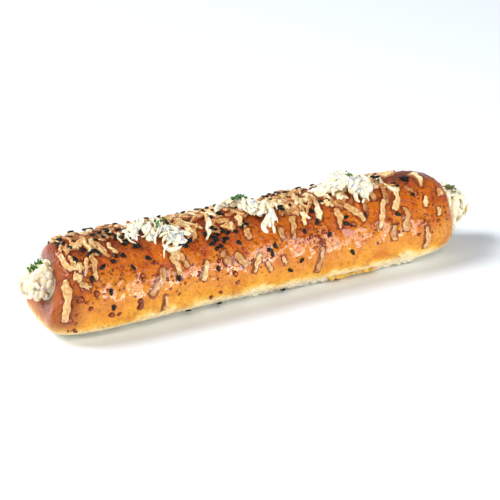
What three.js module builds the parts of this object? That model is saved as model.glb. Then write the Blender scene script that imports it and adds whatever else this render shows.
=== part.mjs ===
import * as THREE from 'three';

// A stuffed pretzel stick: one baked loaf with a tunnel through it, a filling that
// stands proud at both ends, and toppings that lie on the crust.
// Millimetres, +Z up. X runs along the loaf and -Y is its front. The origin is the
// centre of the flat underside. A place on the crust is given as (along, around):
// millimetres along X, and degrees up from the front, so 90 is the top and 180 the back.

// Loaf
const LENGTH = 232;
const WIDTH = 52;
const HEIGHT = 44.5;
const WIDEST_HEIGHT = 17.5;
const SOLE_CUT = 1.2;
const UPPER_POWER = 2.15;
const LOWER_POWER = 2.7;
const LEFT_END_POWER = 7.8;
const RIGHT_END_POWER = 6.5;
const LEFT_LEAN = 8.3;
const LEAN_FOOT = 6;
const LEAN_TOP = 34;
const TAPER = 0.017;
const END_SWELL = 0.1;

// Tunnel and filling
const TUNNEL_RADIUS = 8;
const TUNNEL_HEIGHT = 24;
const MOUTH_SCALE = 0.42;
const GAP = 0.35;
const FILLING_END_POWER = 3.2;
const LEFT_FILLING = { proud: 12, radius: 8.8, drop: -1.5 };
const RIGHT_FILLING = { proud: 17, radius: 11.5, drop: 3.5 };

// Facets
const LOAF_STATIONS = 38;
const LOAF_SECTORS = 36;
const TUNNEL_STATIONS = 8;
const FILLING_SECTORS = 20;
const FILLING_BODY_STATIONS = 6;
const FILLING_END_STATIONS = 6;
const MEAN_RADIUS = 24;
const SLOPE_STEP = 0.5;

const FINISHES = {
  crust: { color: 0xc8742e, roughness: 0.35, metalness: 0 },
  filling: { color: 0xf3f1e2, roughness: 0.5, metalness: 0 },
  baked: { color: 0xd9b37a, roughness: 0.35, metalness: 0 },
  sesame: { color: 0x15120f, roughness: 0.4, metalness: 0 },
  herb: { color: 0x3f6b26, roughness: 0.5, metalness: 0 },
};

// Shreds of cheese baked onto the crust: [along, around, turn, length, width, bend].
// turn is the angle of the shred's long axis from +X towards the top of the loaf.
const SHRED_THICKNESS = 1.5;
const SHREDS = [
  [-111, 14, 96, 22, 3.6, 0.6],
  [-110, 60, -76, 12, 3.6, 0.5],
  [-98, 76, 19, 15, 4.0, 0.8],
  [-95, 52, 81, 12, 3.4, -0.8],
  [-81, 64, -73, 7.5, 3.2, 0],
  [-102, 28, -24, 8, 3.2, 0.3],
  [-62, 16, 50, 15, 4.2, 0.5],
  [-52, 28, -81, 13, 3.2, 0],
  [-37, 18, 67, 10, 3.4, 0],
  [-28, 74, 68, 22, 2.8, 0.5],
  [-25, 26, -74, 8.5, 4.2, 0.4],
  [-17, 21, -51, 9, 4.4, 0],
  [-8, 13, 59, 10, 3.0, 0.4],
  [19, 84, -70, 9, 4.2, 0],
  [22, 110, -7, 16, 3.8, 0.8],
  [16, 45, 70, 12, 3.6, 0],
  [23, 53, 81, 8, 3.2, 0],
  [34, 60, 73, 13, 4.0, 0.5],
  [42, 45, 83, 11, 3.8, -0.6],
  [53, 48, -51, 14, 4.2, 0],
  [8, 41, -78, 7, 3.2, 0],
  [28, 1, 72, 14, 3.4, 0],
  [78, 85, 74, 11, 4.4, 0.4],
  [68, 39, 63, 16, 3.4, 0],
  [80, 56, 60, 17, 4.0, 0.6],
  [81, 27, 81, 12, 4.2, 0],
  [73, 14, 87, 8, 4.0, 0],
  [93, 0, 84, 12, 3.6, 0],
  [98, 76, 86, 13, 3.2, 0.5],
  [90, 60, -61, 8, 3.2, 0],
];

// Melted cheese run out at the foot of the front: one flat ragged tongue.
const RUN_OUT = [50, -34, 0, 26, 4.0, 0];
const RUN_OUT_THICKNESS = 1.3;

// Black sesame seeds: [along, around, turn].
const SEED_LENGTH = 3.4;
const SEED_WIDTH = 2.0;
const SEED_THICKNESS = 1.0;
const SEEDS = [
  [-106, 83, 60],
  [-99, 97, -20],
  [-88, 86, -15],
  [-90, 44, 35],
  [-88, 17, 85],
  [-87, 0, 80],
  [-77, 52, -50],
  [-74, 37, -60],
  [-30, 17, -80],
  [-28, 39, 20],
  [-16, 40, -50],
  [3, 28, -65],
  [29, 59, -55],
  [21, 37, -70],
  [46, 36, -20],
  [17, 5, 55],
  [47, 2, -60],
  [91, 81, -45],
];

// Heaps of fresh grated topping: [along, around, turn, length, width, height].
const HEAPS = {
  garnish_left: [-52, 74, -35, 31, 14, 5.5],
  garnish_middle: [-3, 79, -32, 32, 16, 6],
  garnish_right: [56, 86, -4, 29, 20, 7.5],
};

// Chive flecks on the filling's ends and on the heaps: [place, along, around, turn].
const FLECK_LENGTH = 4.2;
const FLECK_WIDTH = 1.6;
const FLECK_THICKNESS = 0.8;
const FLECKS = [
  ['filling', -122, 84, 10],
  ['filling', 125, 84, -35],
  ['garnish_left', -56, 75, -20],
  ['garnish_middle', -7, 87, 0],
  ['garnish_right', 57, 85, -60],
];

const radians = THREE.MathUtils.degToRad;

/** The reach of a superellipse with half-axes folded into the ratios a and b. */
function superNorm(a, b, power) {
  return (Math.abs(a) ** power + Math.abs(b) ** power) ** (1 / power);
}

/** Distance from the section's centre to the crust, mid-loaf, at an angle in radians. */
function sectionRadius(angle) {
  const upper = Math.sin(angle) > 0;
  const reach = upper ? HEIGHT - WIDEST_HEIGHT : WIDEST_HEIGHT + SOLE_CUT;
  const power = upper ? UPPER_POWER : LOWER_POWER;
  return 1 / superNorm(Math.cos(angle) / (WIDTH / 2), Math.sin(angle) / reach, power);
}

/** How much of the full section is left at x: 1 mid-loaf, 0 at the very ends. */
function endScale(x) {
  const u = Math.min(Math.abs(x) / (LENGTH / 2), 1);
  const power = x < 0 ? LEFT_END_POWER : RIGHT_END_POWER;
  return (1 - u ** power) ** (1 / power);
}

/** The x at which the section has shrunk to the given scale, on the side of sign. */
function stationOfScale(scale, sign) {
  const power = sign < 0 ? LEFT_END_POWER : RIGHT_END_POWER;
  return sign * (LENGTH / 2) * (1 - scale ** power) ** (1 / power);
}

/** A point of the loaf; the upper part of the left end is set back. */
function leaned(x, y, z) {
  const u = Math.min(Math.abs(x) / (LENGTH / 2), 1);
  const shift = LEFT_LEAN * u ** 6 * THREE.MathUtils.smoothstep(z, LEAN_FOOT, LEAN_TOP);
  return new THREE.Vector3(x < 0 ? x + shift : x, y, z);
}

/** The crust's surface point at x and an angle in radians. */
function crust(x, angle) {
  const u = x / (LENGTH / 2);
  const scale = endScale(x);
  const girth = 1 + TAPER * u + END_SWELL * (u * u - 0.5);
  const radius = sectionRadius(angle) * scale * girth;
  const centre = TUNNEL_HEIGHT + (WIDEST_HEIGHT - TUNNEL_HEIGHT) * scale;
  const z = Math.max(0, centre + radius * Math.sin(angle));
  return leaned(x, -radius * Math.cos(angle), z);
}

/** A point of the round about the tunnel's axis, or about a line a drop below it. */
function aroundTunnel(x, radius, angle, drop = 0) {
  const z = TUNNEL_HEIGHT - drop + radius * Math.sin(angle);
  return leaned(x, -radius * Math.cos(angle), z);
}

/** The filling's surface point: a plain core, then a domed end outside each mouth. */
function fillingSurface(x, angle) {
  const end = x < 0 ? LEFT_FILLING : RIGHT_FILLING;
  const out = Math.abs(x) - LENGTH / 2 - GAP;
  if (out < 0) {
    return aroundTunnel(x, TUNNEL_RADIUS - GAP, angle);
  }
  const t = Math.min(out / (end.proud - GAP), 1);
  const radius = end.radius * (1 - t ** FILLING_END_POWER) ** (1 / FILLING_END_POWER);
  return aroundTunnel(x, radius, angle, end.drop);
}

/** The outward normal of a surface(x, angle), by central differences. */
function normalOf(surface, x, angle) {
  const turn = SLOPE_STEP / MEAN_RADIUS;
  const along = surface(x + SLOPE_STEP, angle).sub(surface(x - SLOPE_STEP, angle));
  const around = surface(x, angle + turn).sub(surface(x, angle - turn));
  return around.cross(along).normalize().negate();
}

/** Even steps of an angle right round, in radians. */
function angles(count) {
  return Array.from({ length: count }, (_, i) => (2 * Math.PI * i) / count);
}

/** Numbers from first to last in equal steps, both ends included. */
function spread(first, last, steps) {
  return Array.from({ length: steps + 1 }, (_, i) => first + ((last - first) * i) / steps);
}

/** Triangles between two rings of vertex numbers; a ring of one vertex is a pole. */
function band(lower, upper) {
  const count = Math.max(lower.length, upper.length);
  const faces = [];
  for (let i = 0; i < count; i += 1) {
    const j = (i + 1) % count;
    if (upper.length > 1) {
      faces.push(lower[i % lower.length], upper[j], upper[i]);
    }
    if (lower.length > 1) {
      faces.push(lower[i], lower[j], upper[j % upper.length]);
    }
  }
  return faces;
}

/** The volume inside an indexed skin, negative where its faces point inwards. */
function signedVolume(points, faces) {
  let total = 0;
  for (let i = 0; i < faces.length; i += 3) {
    const [a, b, c] = [faces[i], faces[i + 1], faces[i + 2]].map((k) => points[k]);
    total += a.dot(b.clone().cross(c)) / 6;
  }
  return total;
}

/** A closed mesh skinned over rings of points; a loop joins the last ring to the first. */
function skin(name, rings, finish, loop = false) {
  const points = rings.flat();
  let next = 0;
  const numbered = rings.map((ring) => ring.map(() => next++));
  const pairs = numbered.slice(1).map((ring, i) => [numbered[i], ring]);
  if (loop) {
    pairs.push([numbered[numbered.length - 1], numbered[0]]);
  }
  const faces = pairs.flatMap(([lower, upper]) => band(lower, upper));
  if (signedVolume(points, faces) < 0) {
    faces.reverse();
  }
  const geometry = new THREE.BufferGeometry().setFromPoints(points);
  geometry.setIndex(faces);
  geometry.computeVertexNormals();
  const mesh = new THREE.Mesh(geometry, new THREE.MeshStandardMaterial(FINISHES[finish]));
  mesh.name = name;
  return mesh;
}

/** The loaf: its outer skin from mouth to mouth, then the tunnel's wall back again. */
function bread() {
  const turns = angles(LOAF_SECTORS);
  const left = stationOfScale(MOUTH_SCALE, -1);
  const right = stationOfScale(MOUTH_SCALE, 1);
  const outer = spread(0, Math.PI, LOAF_STATIONS).map((t) => {
    const x = (left + right) / 2 - ((right - left) / 2) * Math.cos(t);
    return turns.map((angle) => crust(x, angle));
  });
  const inset = 3 * GAP;
  const wall = spread(right - inset, left + inset, TUNNEL_STATIONS).map((x) =>
    turns.map((angle) => aroundTunnel(x, TUNNEL_RADIUS, angle)),
  );
  return skin('bread', [...outer, ...wall], 'crust', true);
}

/** The filling: a core through the tunnel with a domed end standing out of each mouth. */
function filling() {
  const turns = angles(FILLING_SECTORS);
  const face = LENGTH / 2 + GAP;
  const leftTip = LENGTH / 2 + LEFT_FILLING.proud;
  const rightTip = LENGTH / 2 + RIGHT_FILLING.proud;
  const dome = (tip) =>
    spread(0, Math.PI / 2, FILLING_END_STATIONS)
      .slice(0, -1)
      .map((t) => face + (tip - face) * Math.sin(t));
  const core = spread(-face + GAP, face - GAP, FILLING_BODY_STATIONS);
  const leftDome = dome(leftTip).map((x) => -x);
  const stations = [...leftDome.reverse(), ...core, ...dome(rightTip)];
  const rings = stations.map((x) => turns.map((angle) => fillingSurface(x, angle)));
  const pole = (x) => [fillingSurface(x, 0)];
  return skin('filling', [pole(-leftTip), ...rings, pole(rightTip)], 'filling');
}

/**
 * A rounded pad that lies on a surface(x, angle) with a gap under it.
 * place holds along, around, turn, length, width and thickness, and a sideways bend.
 */
function pad(name, surface, place, finish, steps = { length: 6, width: 3 }) {
  const { along, around, turn, length, width, thickness, bend = 0 } = place;
  const heading = radians(turn);
  const at = (a, b, lift) => {
    const side = b + bend * (1 - (2 * a / length) ** 2);
    const x = along + a * Math.cos(heading) - side * Math.sin(heading);
    const arc = a * Math.sin(heading) + side * Math.cos(heading);
    const angle = radians(around) + arc / MEAN_RADIUS;
    return surface(x, angle).addScaledVector(normalOf(surface, x, angle), GAP + lift);
  };
  const rim = spread(-1, 1, steps.width);
  const rings = spread(0, Math.PI, steps.length).map((t) => {
    const a = (-length / 2) * Math.cos(t);
    const swell = Math.sin(t) ** 0.6;
    const height = (b) => thickness * swell * (0.35 + 0.65 * Math.sqrt(1 - b * b));
    const under = rim.map((b) => at(a, (b * swell * width) / 2, 0));
    const over = rim.map((b) => at(a, (b * swell * width) / 2, height(b))).reverse();
    return [...under, ...over];
  });
  const pole = (a) => [at(a, 0, 0)];
  const body = rings.slice(1, -1);
  return skin(name, [pole(-length / 2), ...body, pole(length / 2)], finish);
}

/** The surface over a heap: the crust raised by the heap's own dome. */
function heapSurface([along, around, turn, length, width, height]) {
  const heading = radians(turn);
  return (x, angle) => {
    const dx = x - along;
    const arc = (angle - radians(around)) * MEAN_RADIUS;
    const a = (dx * Math.cos(heading) + arc * Math.sin(heading)) / (length / 2);
    const b = (arc * Math.cos(heading) - dx * Math.sin(heading)) / (width / 2);
    const dome = height * Math.sqrt(Math.max(0, 1 - a * a - b * b));
    return crust(x, angle).addScaledVector(normalOf(crust, x, angle), GAP + dome);
  };
}

/** A row of numbers as a pad's place. */
function placed([along, around, turn, length, width, bend], thickness) {
  return { along, around, turn, length, width, bend, thickness };
}

/** A two-digit serial number for a repeated piece. */
function serial(index) {
  return String(index + 1).padStart(2, '0');
}

const group = new THREE.Group();
group.add(bread(), filling());

SHREDS.forEach((row, i) => {
  const place = placed(row, SHRED_THICKNESS);
  group.add(pad(`baked_cheese_shred_${serial(i)}`, crust, place, 'baked'));
});

const runOut = placed(RUN_OUT, RUN_OUT_THICKNESS);
group.add(pad('baked_cheese_run_out', crust, runOut, 'baked', { length: 8, width: 2 }));

SEEDS.forEach(([along, around, turn], i) => {
  const row = [along, around, turn, SEED_LENGTH, SEED_WIDTH, 0];
  const place = placed(row, SEED_THICKNESS);
  group.add(pad(`black_sesame_${serial(i)}`, crust, place, 'sesame', { length: 4, width: 2 }));
});

Object.entries(HEAPS).forEach(([name, [along, around, turn, length, width, height]]) => {
  const place = placed([along, around, turn, length, width, 0], height);
  group.add(pad(name, crust, place, 'filling', { length: 10, width: 6 }));
});

const UNDER_FLECK = { filling: fillingSurface };
Object.entries(HEAPS).forEach(([name, row]) => {
  UNDER_FLECK[name] = heapSurface(row);
});
FLECKS.forEach(([under, along, around, turn], i) => {
  const row = [along, around, turn, FLECK_LENGTH, FLECK_WIDTH, 0];
  const place = placed(row, FLECK_THICKNESS);
  const steps = { length: 4, width: 2 };
  group.add(pad(`chive_fleck_${serial(i)}`, UNDER_FLECK[under], place, 'herb', steps));
});

export default group;
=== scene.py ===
"""A stuffed pretzel stick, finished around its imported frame.

The loaf lies along X with its front towards -Y. Shapes are worked out in millimetres
and made in metres. A place on the crust is (along, arc): millimetres along X, and
millimetres up round the crust from the middle of its front.
"""

import itertools
import logging
import math
from dataclasses import dataclass, field, replace
from enum import Enum
from typing import Any, Sequence

import bpy
import numpy as np
from mathutils import Matrix, Vector


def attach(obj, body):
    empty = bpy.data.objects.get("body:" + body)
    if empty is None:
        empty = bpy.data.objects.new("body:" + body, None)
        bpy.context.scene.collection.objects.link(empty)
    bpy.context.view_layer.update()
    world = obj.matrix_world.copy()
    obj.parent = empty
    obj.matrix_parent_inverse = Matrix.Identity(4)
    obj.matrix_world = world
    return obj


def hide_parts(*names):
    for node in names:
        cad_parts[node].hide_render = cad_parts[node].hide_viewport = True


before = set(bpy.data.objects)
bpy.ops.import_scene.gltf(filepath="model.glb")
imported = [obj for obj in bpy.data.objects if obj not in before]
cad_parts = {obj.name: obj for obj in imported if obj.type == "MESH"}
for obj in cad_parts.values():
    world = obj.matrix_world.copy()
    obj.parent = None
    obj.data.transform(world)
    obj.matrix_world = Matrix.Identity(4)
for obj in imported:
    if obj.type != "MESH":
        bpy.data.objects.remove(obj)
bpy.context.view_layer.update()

MM = 0.001
BODY = "root"
Array = np.ndarray
Socket = bpy.types.NodeSocket

log = logging.getLogger("pretzel")


class Slot(Enum):
    """The names of the material slots."""

    CRUST = "crust"
    FILLING = "fresh_filling"
    BAKED = "baked_cheese"
    SESAME = "black_sesame"
    CHIVE = "chive"


# ---- Numbers and noise ----


def smoothstep(value: Array, low: float, high: float) -> Array:
    """Ease from 0 at low to 1 at high; low may be the larger of the two.

    Args:
        value: Numbers to ease.
        low: Where the result starts to leave 0.
        high: Where the result reaches 1.

    Returns:
        The eased numbers.
    """
    t = np.clip((value - low) / (high - low), 0, 1)
    return t * t * (3 - 2 * t)


@dataclass(frozen=True)
class Noise:
    """Smooth value noise on a cubic lattice, the same on every run."""

    cell: float
    seed: int

    def corner(self, lattice: Array) -> Array:
        """Pick a number for each lattice point.

        Args:
            lattice: Whole numbers, three in the last axis.

        Returns:
            A number from 0 to 1 for each.
        """
        x, y, z = (lattice[..., i].astype(np.uint64) for i in range(3))
        h = x * np.uint64(73856093) ^ y * np.uint64(19349663) ^ z * np.uint64(83492791)
        h = h ^ np.uint64(self.seed * 2654435761 % 2**32)
        h = (h ^ (h >> np.uint64(13))) * np.uint64(1274126177)
        h = (h ^ (h >> np.uint64(16))) & np.uint64(0xFFFFFF)
        return h.astype(float) / 0xFFFFFF

    def __call__(self, points: Array) -> Array:
        """Sample the noise.

        Args:
            points: Places in millimetres, with three numbers in the last axis.

        Returns:
            A number from -1 to 1 for each place.
        """
        scaled = np.asarray(points, float) / self.cell + 512
        base = np.floor(scaled)
        part = scaled - base
        part = part * part * (3 - 2 * part)
        total = np.zeros(scaled.shape[:-1])
        for offset in itertools.product((0, 1), repeat=3):
            weight = np.prod(np.where(offset, part, 1 - part), axis=-1)
            total += weight * self.corner(base + offset)
        return 2 * total - 1


# ---- The loaf's shape ----


@dataclass(frozen=True)
class LoafShape:
    """The loaf's outer form, the same rule as its CAD solid, with its baked relief."""

    length: float = 232.0
    width: float = 52.0
    height: float = 44.5
    widest_height: float = 17.5
    sole_cut: float = 1.2
    upper_power: float = 2.15
    lower_power: float = 2.7
    left_power: float = 7.8
    right_power: float = 6.5
    left_lean: float = 8.3
    lean_foot: float = 6.0
    lean_top: float = 34.0
    taper: float = 0.017
    end_swell: float = 0.1
    tunnel_height: float = 24.0
    tunnel_radius: float = 8.0
    mouth_scale: float = 0.42
    mean_radius: float = 24.0
    slope_step: float = 0.4
    floor_gap: float = 0.02
    locating_rounds: int = 4

    def end_scale(self, along: Array) -> Array:
        """Find how much of the full section is left.

        Args:
            along: Millimetres along X.

        Returns:
            1 mid-loaf, falling to 0 at the ends.
        """
        u = np.minimum(np.abs(along) / (self.length / 2), 1)
        power = np.where(along < 0, self.left_power, self.right_power)
        return (1 - u**power) ** (1 / power)

    def mouth(self, side: int) -> float:
        """Return the x of the mouth's rim on the left (-1) or right (1)."""
        power = self.left_power if side < 0 else self.right_power
        return side * self.length / 2 * (1 - self.mouth_scale**power) ** (1 / power)

    def section_radius(self, angle: Array) -> Array:
        """Find how far the crust lies from the section's centre mid-loaf.

        Args:
            angle: Radians up from the middle of the front.

        Returns:
            The distance for each angle.
        """
        up, across = np.sin(angle), np.cos(angle)
        low = self.widest_height + self.sole_cut
        reach = np.where(up > 0, self.height - self.widest_height, low)
        power = np.where(up > 0, self.upper_power, self.lower_power)
        wide = np.abs(across / (self.width / 2)) ** power
        return (wide + np.abs(up / reach) ** power) ** (-1 / power)

    def set_back(self, x: Array, z: Array) -> Array:
        """Find how far the left end is set back.

        Args:
            x: Millimetres along X, before the shift.
            z: Heights in millimetres.

        Returns:
            The shift for each point, 0 on the right half.
        """
        u = np.minimum(np.abs(x) / (self.length / 2), 1)
        shift = self.left_lean * u**6 * smoothstep(z, self.lean_foot, self.lean_top)
        return np.where(x < 0, shift, 0)

    def leaned(self, x: Array, y: Array, z: Array) -> Array:
        """Return points of the loaf with the upper part of the left end set back."""
        return np.stack([x + self.set_back(x, z), y, z], axis=-1)

    def base(self, along: Array, arc: Array) -> Array:
        """Find points of the smooth crust.

        Args:
            along: Millimetres along X.
            arc: Millimetres round the crust.

        Returns:
            Points in millimetres.
        """
        along, arc = np.broadcast_arrays(np.asarray(along, float), arc)
        angle = arc / self.mean_radius
        u = along / (self.length / 2)
        scale = self.end_scale(along)
        girth = 1 + self.taper * u + self.end_swell * (u * u - 0.5)
        radius = self.section_radius(angle) * scale * girth
        drop = (self.widest_height - self.tunnel_height) * scale
        z = np.maximum(0, self.tunnel_height + drop + radius * np.sin(angle))
        return self.leaned(along, -radius * np.cos(angle), z)

    def normal(self, along: Array, arc: Array) -> Array:
        """Find the smooth crust's outward unit normals.

        Args:
            along: Millimetres along X.
            arc: Millimetres round the crust.

        Returns:
            One normal for each place.
        """
        step = self.slope_step
        ahead = self.base(along + step, arc) - self.base(along - step, arc)
        around = self.base(along, arc + step) - self.base(along, arc - step)
        normal = np.cross(ahead, around)
        return normal / np.linalg.norm(normal, axis=-1, keepdims=True)

    def relief(self, points: Array) -> Array:
        """Find how far the baked crust stands out from the smooth one.

        Args:
            points: Points of the smooth crust.

        Returns:
            Heights in millimetres.
        """
        z = points[..., 2]
        free = smoothstep(z, 1.0, 9.0)
        lumps = 0.7 * Noise(36, 3)(points) + 0.4 * Noise(15, 5)(points)
        fine = 0.32 * Noise(6.5, 7)(points) + 0.2 * Noise(3.1, 11)(points)
        crowded = smoothstep(z, 30, 42)
        pits = 0.3 * crowded * Noise(2.0, 19)(points)
        belly = 1.2 * (1 - smoothstep(z, 15, 31)) - 0.3
        foot = 1 - smoothstep(z, 0.6, 4.2)
        torn = smoothstep(points[..., 0], -30, 5) * smoothstep(points[..., 0], 104, 88)
        teeth = np.abs(Noise(3.6, 13)(points)) + 0.7 * np.abs(Noise(1.9, 17)(points))
        return free * (lumps + fine + pits + belly) + foot * ((0.7 + 2.0 * torn) * teeth - 0.2)

    def surface(self, along: Array, arc: Array, lift: Array | float = 0.0) -> Array:
        """Find points on or above the baked crust.

        Args:
            along: Millimetres along X.
            arc: Millimetres round the crust.
            lift: Height above the crust, along its normal.

        Returns:
            Points in millimetres, none under the floor.
        """
        base = self.base(along, arc)
        out = self.relief(base) + lift
        points = base + self.normal(along, arc) * out[..., None]
        points[..., 2] = np.maximum(points[..., 2], self.floor_gap)
        return points

    def locate(self, points: Array) -> Array:
        """Find where points near the crust lie on it.

        Args:
            points: Points in millimetres.

        Returns:
            Their (along, arc) places, one row each.
        """
        x, y, z = points.T
        along = x
        for _ in range(self.locating_rounds):
            along = x - self.set_back(along, z)
        drop = (self.widest_height - self.tunnel_height) * self.end_scale(along)
        angle = np.arctan2(z - self.tunnel_height - drop, -y)
        return np.stack([along, angle * self.mean_radius], axis=1)


@dataclass(frozen=True)
class Spot:
    """A place on the crust with a heading and a footprint, in millimetres."""

    along: float
    arc: float
    heading: float
    length: float
    width: float

    @classmethod
    def of_node(cls, shape: LoafShape, name: str) -> "Spot":
        """Measure a CAD node's footprint.

        Args:
            shape: The loaf that the node lies on.
            name: The CAD node's name.

        Returns:
            Its spot.
        """
        flat = shape.locate(node_points(name))
        spread = np.cov((flat - flat.mean(0)).T)
        main = np.linalg.eigh(spread)[1][:, -1]
        side = np.array([-main[1], main[0]])
        runs = np.stack([flat @ main, flat @ side])
        middle = (runs.max(1) + runs.min(1)) / 2
        centre = middle[0] * main + middle[1] * side
        heading = math.atan2(main[1], main[0])
        return cls(centre[0], centre[1], heading, np.ptp(runs[0]), np.ptp(runs[1]))

    def at(self, ahead: Array, side: Array) -> tuple[Array, Array]:
        """Turn distances from the spot's centre into places on the crust.

        Args:
            ahead: Distances along the heading.
            side: Distances to its left.

        Returns:
            The along and arc of each place.
        """
        cos, sin = math.cos(self.heading), math.sin(self.heading)
        return self.along + ahead * cos - side * sin, self.arc + ahead * sin + side * cos

    def off(self, along: Array, arc: Array) -> tuple[Array, Array]:
        """Turn places on the crust into distances from the spot's centre.

        Args:
            along: The places' millimetres along X.
            arc: Their millimetres round the crust.

        Returns:
            Distances along the heading, and to its left.
        """
        x, y = along - self.along, arc - self.arc
        cos, sin = math.cos(self.heading), math.sin(self.heading)
        return x * cos + y * sin, y * cos - x * sin

    def dome(self, along: Array, arc: Array) -> Array:
        """Find the height of a dome over the spot's ellipse.

        Args:
            along: Places' millimetres along X.
            arc: Their millimetres round the crust.

        Returns:
            1 over the centre, falling to 0 at the edge and outside it.
        """
        ahead, side = self.off(along, arc)
        a, b = ahead / (self.length / 2), side / (self.width / 2)
        return np.sqrt(np.clip(1 - a**2 - b**2, 0, 1))


@dataclass(frozen=True)
class Cluster:
    """A patch of the crust where small toppings gather."""

    along: float
    around: float
    reach: float
    turn: float
    count: int

    def draw(self, rng: np.random.Generator, shape: LoafShape) -> Array:
        """Scatter places over the patch.

        Args:
            rng: The source of chance.
            shape: The loaf.

        Returns:
            One (along, arc) row for each place.
        """
        spread = rng.normal(0, 0.55, (self.count, 2)).clip(-1, 1)
        around = math.radians(1) * (self.around + spread[:, 1] * self.turn)
        along = self.along + spread[:, 0] * self.reach
        return np.stack([along, around * shape.mean_radius], axis=1)


def vertices(mesh: bpy.types.Mesh) -> Array:
    """Read a mesh's vertices.

    Args:
        mesh: The mesh.

    Returns:
        One row for each vertex, in metres.
    """
    flat = np.empty(len(mesh.vertices) * 3, np.float32)
    mesh.vertices.foreach_get("co", flat)
    return flat.reshape(-1, 3)


def node_points(name: str) -> Array:
    """Return a CAD node's vertices in millimetres, one row each."""
    return vertices(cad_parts[name].data).astype(float) / MM


def nodes_named(start: str) -> list[str]:
    """Return the CAD nodes whose names begin with the given word."""
    return sorted(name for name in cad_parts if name.startswith(start))


# ---- Meshes ----


@dataclass
class Skin:
    """Points and faces in millimetres, with numbers carried on the points."""

    points: list[Array] = field(default_factory=list)
    faces: list[tuple[int, ...]] = field(default_factory=list)
    values: dict[str, list[Array]] = field(default_factory=dict)
    count: int = 0

    def add(self, points: Array, **values: Array | float) -> int:
        """Add points and their values.

        Args:
            points: One row for each point.
            **values: A number, or one number a point, for each named value.

        Returns:
            The number of the first point added.
        """
        start = self.count
        self.points.append(points)
        self.count += len(points)
        for name, value in values.items():
            row = np.broadcast_to(np.asarray(value, float), (len(points),))
            self.values.setdefault(name, []).append(row)
        return start

    def rings(self, rings: Sequence[Array], loop: bool = False, **values: Any) -> None:
        """Skin over rings of points; a ring of one point is a pole.

        Args:
            rings: The rings in order, counter-clockwise seen from the last one.
            loop: Whether the last ring joins the first.
            **values: For each named value, one array a ring, or one number for all.
        """
        rows = []
        for i, ring in enumerate(rings):
            row = {k: v[i] if isinstance(v, list) else v for k, v in values.items()}
            start = self.add(ring, **row)
            rows.append(range(start, start + len(ring)))
        for low, high in itertools.pairwise(rows):
            self.band(low, high)
        if loop:
            self.band(rows[-1], rows[0])

    def band(self, low: range, high: range) -> None:
        """Join two rings of points with faces, triangles where one is a pole.

        Args:
            low: The numbers of the first ring's points.
            high: The numbers of the second ring's points.
        """
        for i in range(max(len(low), len(high))):
            a, b = low[i % len(low)], low[(i + 1) % len(low)]
            c, d = high[(i + 1) % len(high)], high[i % len(high)]
            self.faces.append(tuple(dict.fromkeys((a, b, c, d))))

    def mesh(self, name: str) -> bpy.types.Mesh:
        """Make the Blender mesh, in metres, with its faces pointing out.

        Args:
            name: The mesh's name.

        Returns:
            The mesh.
        """
        mesh = bpy.data.meshes.new(name)
        mesh.from_pydata((np.concatenate(self.points) * MM).tolist(), [], self.faces)
        for key, rows in self.values.items():
            carry(mesh, key, np.concatenate(rows))
        mesh.shade_smooth()
        mesh.update()
        return mesh


def carry(mesh: bpy.types.Mesh, name: str, numbers: Array) -> None:
    """Store a number on each of a mesh's points, under a name."""
    row = mesh.attributes.new(name, "FLOAT", "POINT")
    row.data.foreach_set("value", np.asarray(numbers, np.float32))


def signed_volume(mesh: bpy.types.Mesh) -> float:
    """Find the volume inside a closed mesh.

    Args:
        mesh: The mesh.

    Returns:
        The volume, negative where the mesh is inside out.
    """
    mesh.calc_loop_triangles()
    corners = np.empty(len(mesh.loop_triangles) * 3, np.int32)
    mesh.loop_triangles.foreach_get("vertices", corners)
    a, b, c = vertices(mesh)[corners.reshape(-1, 3)].transpose(1, 0, 2)
    return float(np.einsum("ij,ij->i", a, np.cross(b, c)).sum() / 6)


def turned_out(mesh: bpy.types.Mesh) -> bpy.types.Mesh:
    """Turn a closed mesh's faces outwards, if they aren't.

    Args:
        mesh: The mesh, changed in place.

    Returns:
        The same mesh.
    """
    if signed_volume(mesh) < 0:
        mesh.flip_normals()
    return mesh


def placed(name: str, data: bpy.types.ID) -> bpy.types.Object:
    """Put an object in the scene.

    Args:
        name: The object's name.
        data: Its mesh, light or camera.

    Returns:
        The object, at the origin.
    """
    thing = bpy.data.objects.new(name, data)
    bpy.context.scene.collection.objects.link(thing)
    return thing


def settled(holder: bpy.types.Object, name: str) -> bpy.types.Mesh:
    """Take the plain mesh that an object's modifiers make, and remove the object.

    Args:
        holder: The object with its modifiers.
        name: The plain mesh's name.

    Returns:
        The plain mesh.
    """
    holder.update_tag()
    bpy.context.view_layer.update()
    depsgraph = bpy.context.evaluated_depsgraph_get()
    mesh = bpy.data.meshes.new_from_object(holder.evaluated_get(depsgraph))
    mesh.name = name
    bpy.data.objects.remove(holder)
    return mesh


def dressed(
    name: str,
    mesh: bpy.types.Mesh,
    material: bpy.types.Material,
    nodes: Sequence[str] = (),
) -> bpy.types.Object:
    """Make a finished piece from its mesh.

    Args:
        name: The piece's name.
        mesh: Its final mesh, in place.
        material: Its material.
        nodes: The CAD nodes that it stands for.

    Returns:
        The piece, riding on the body.
    """
    turned_out(mesh)
    mesh.materials.clear()
    mesh.materials.append(material)
    piece = placed(name, mesh)
    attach(piece, BODY)
    if nodes:
        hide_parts(*nodes)
    log.info("%s: %d faces for %d nodes", name, len(mesh.polygons), len(nodes))
    return piece


# ---- Geometry Nodes ----


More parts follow.
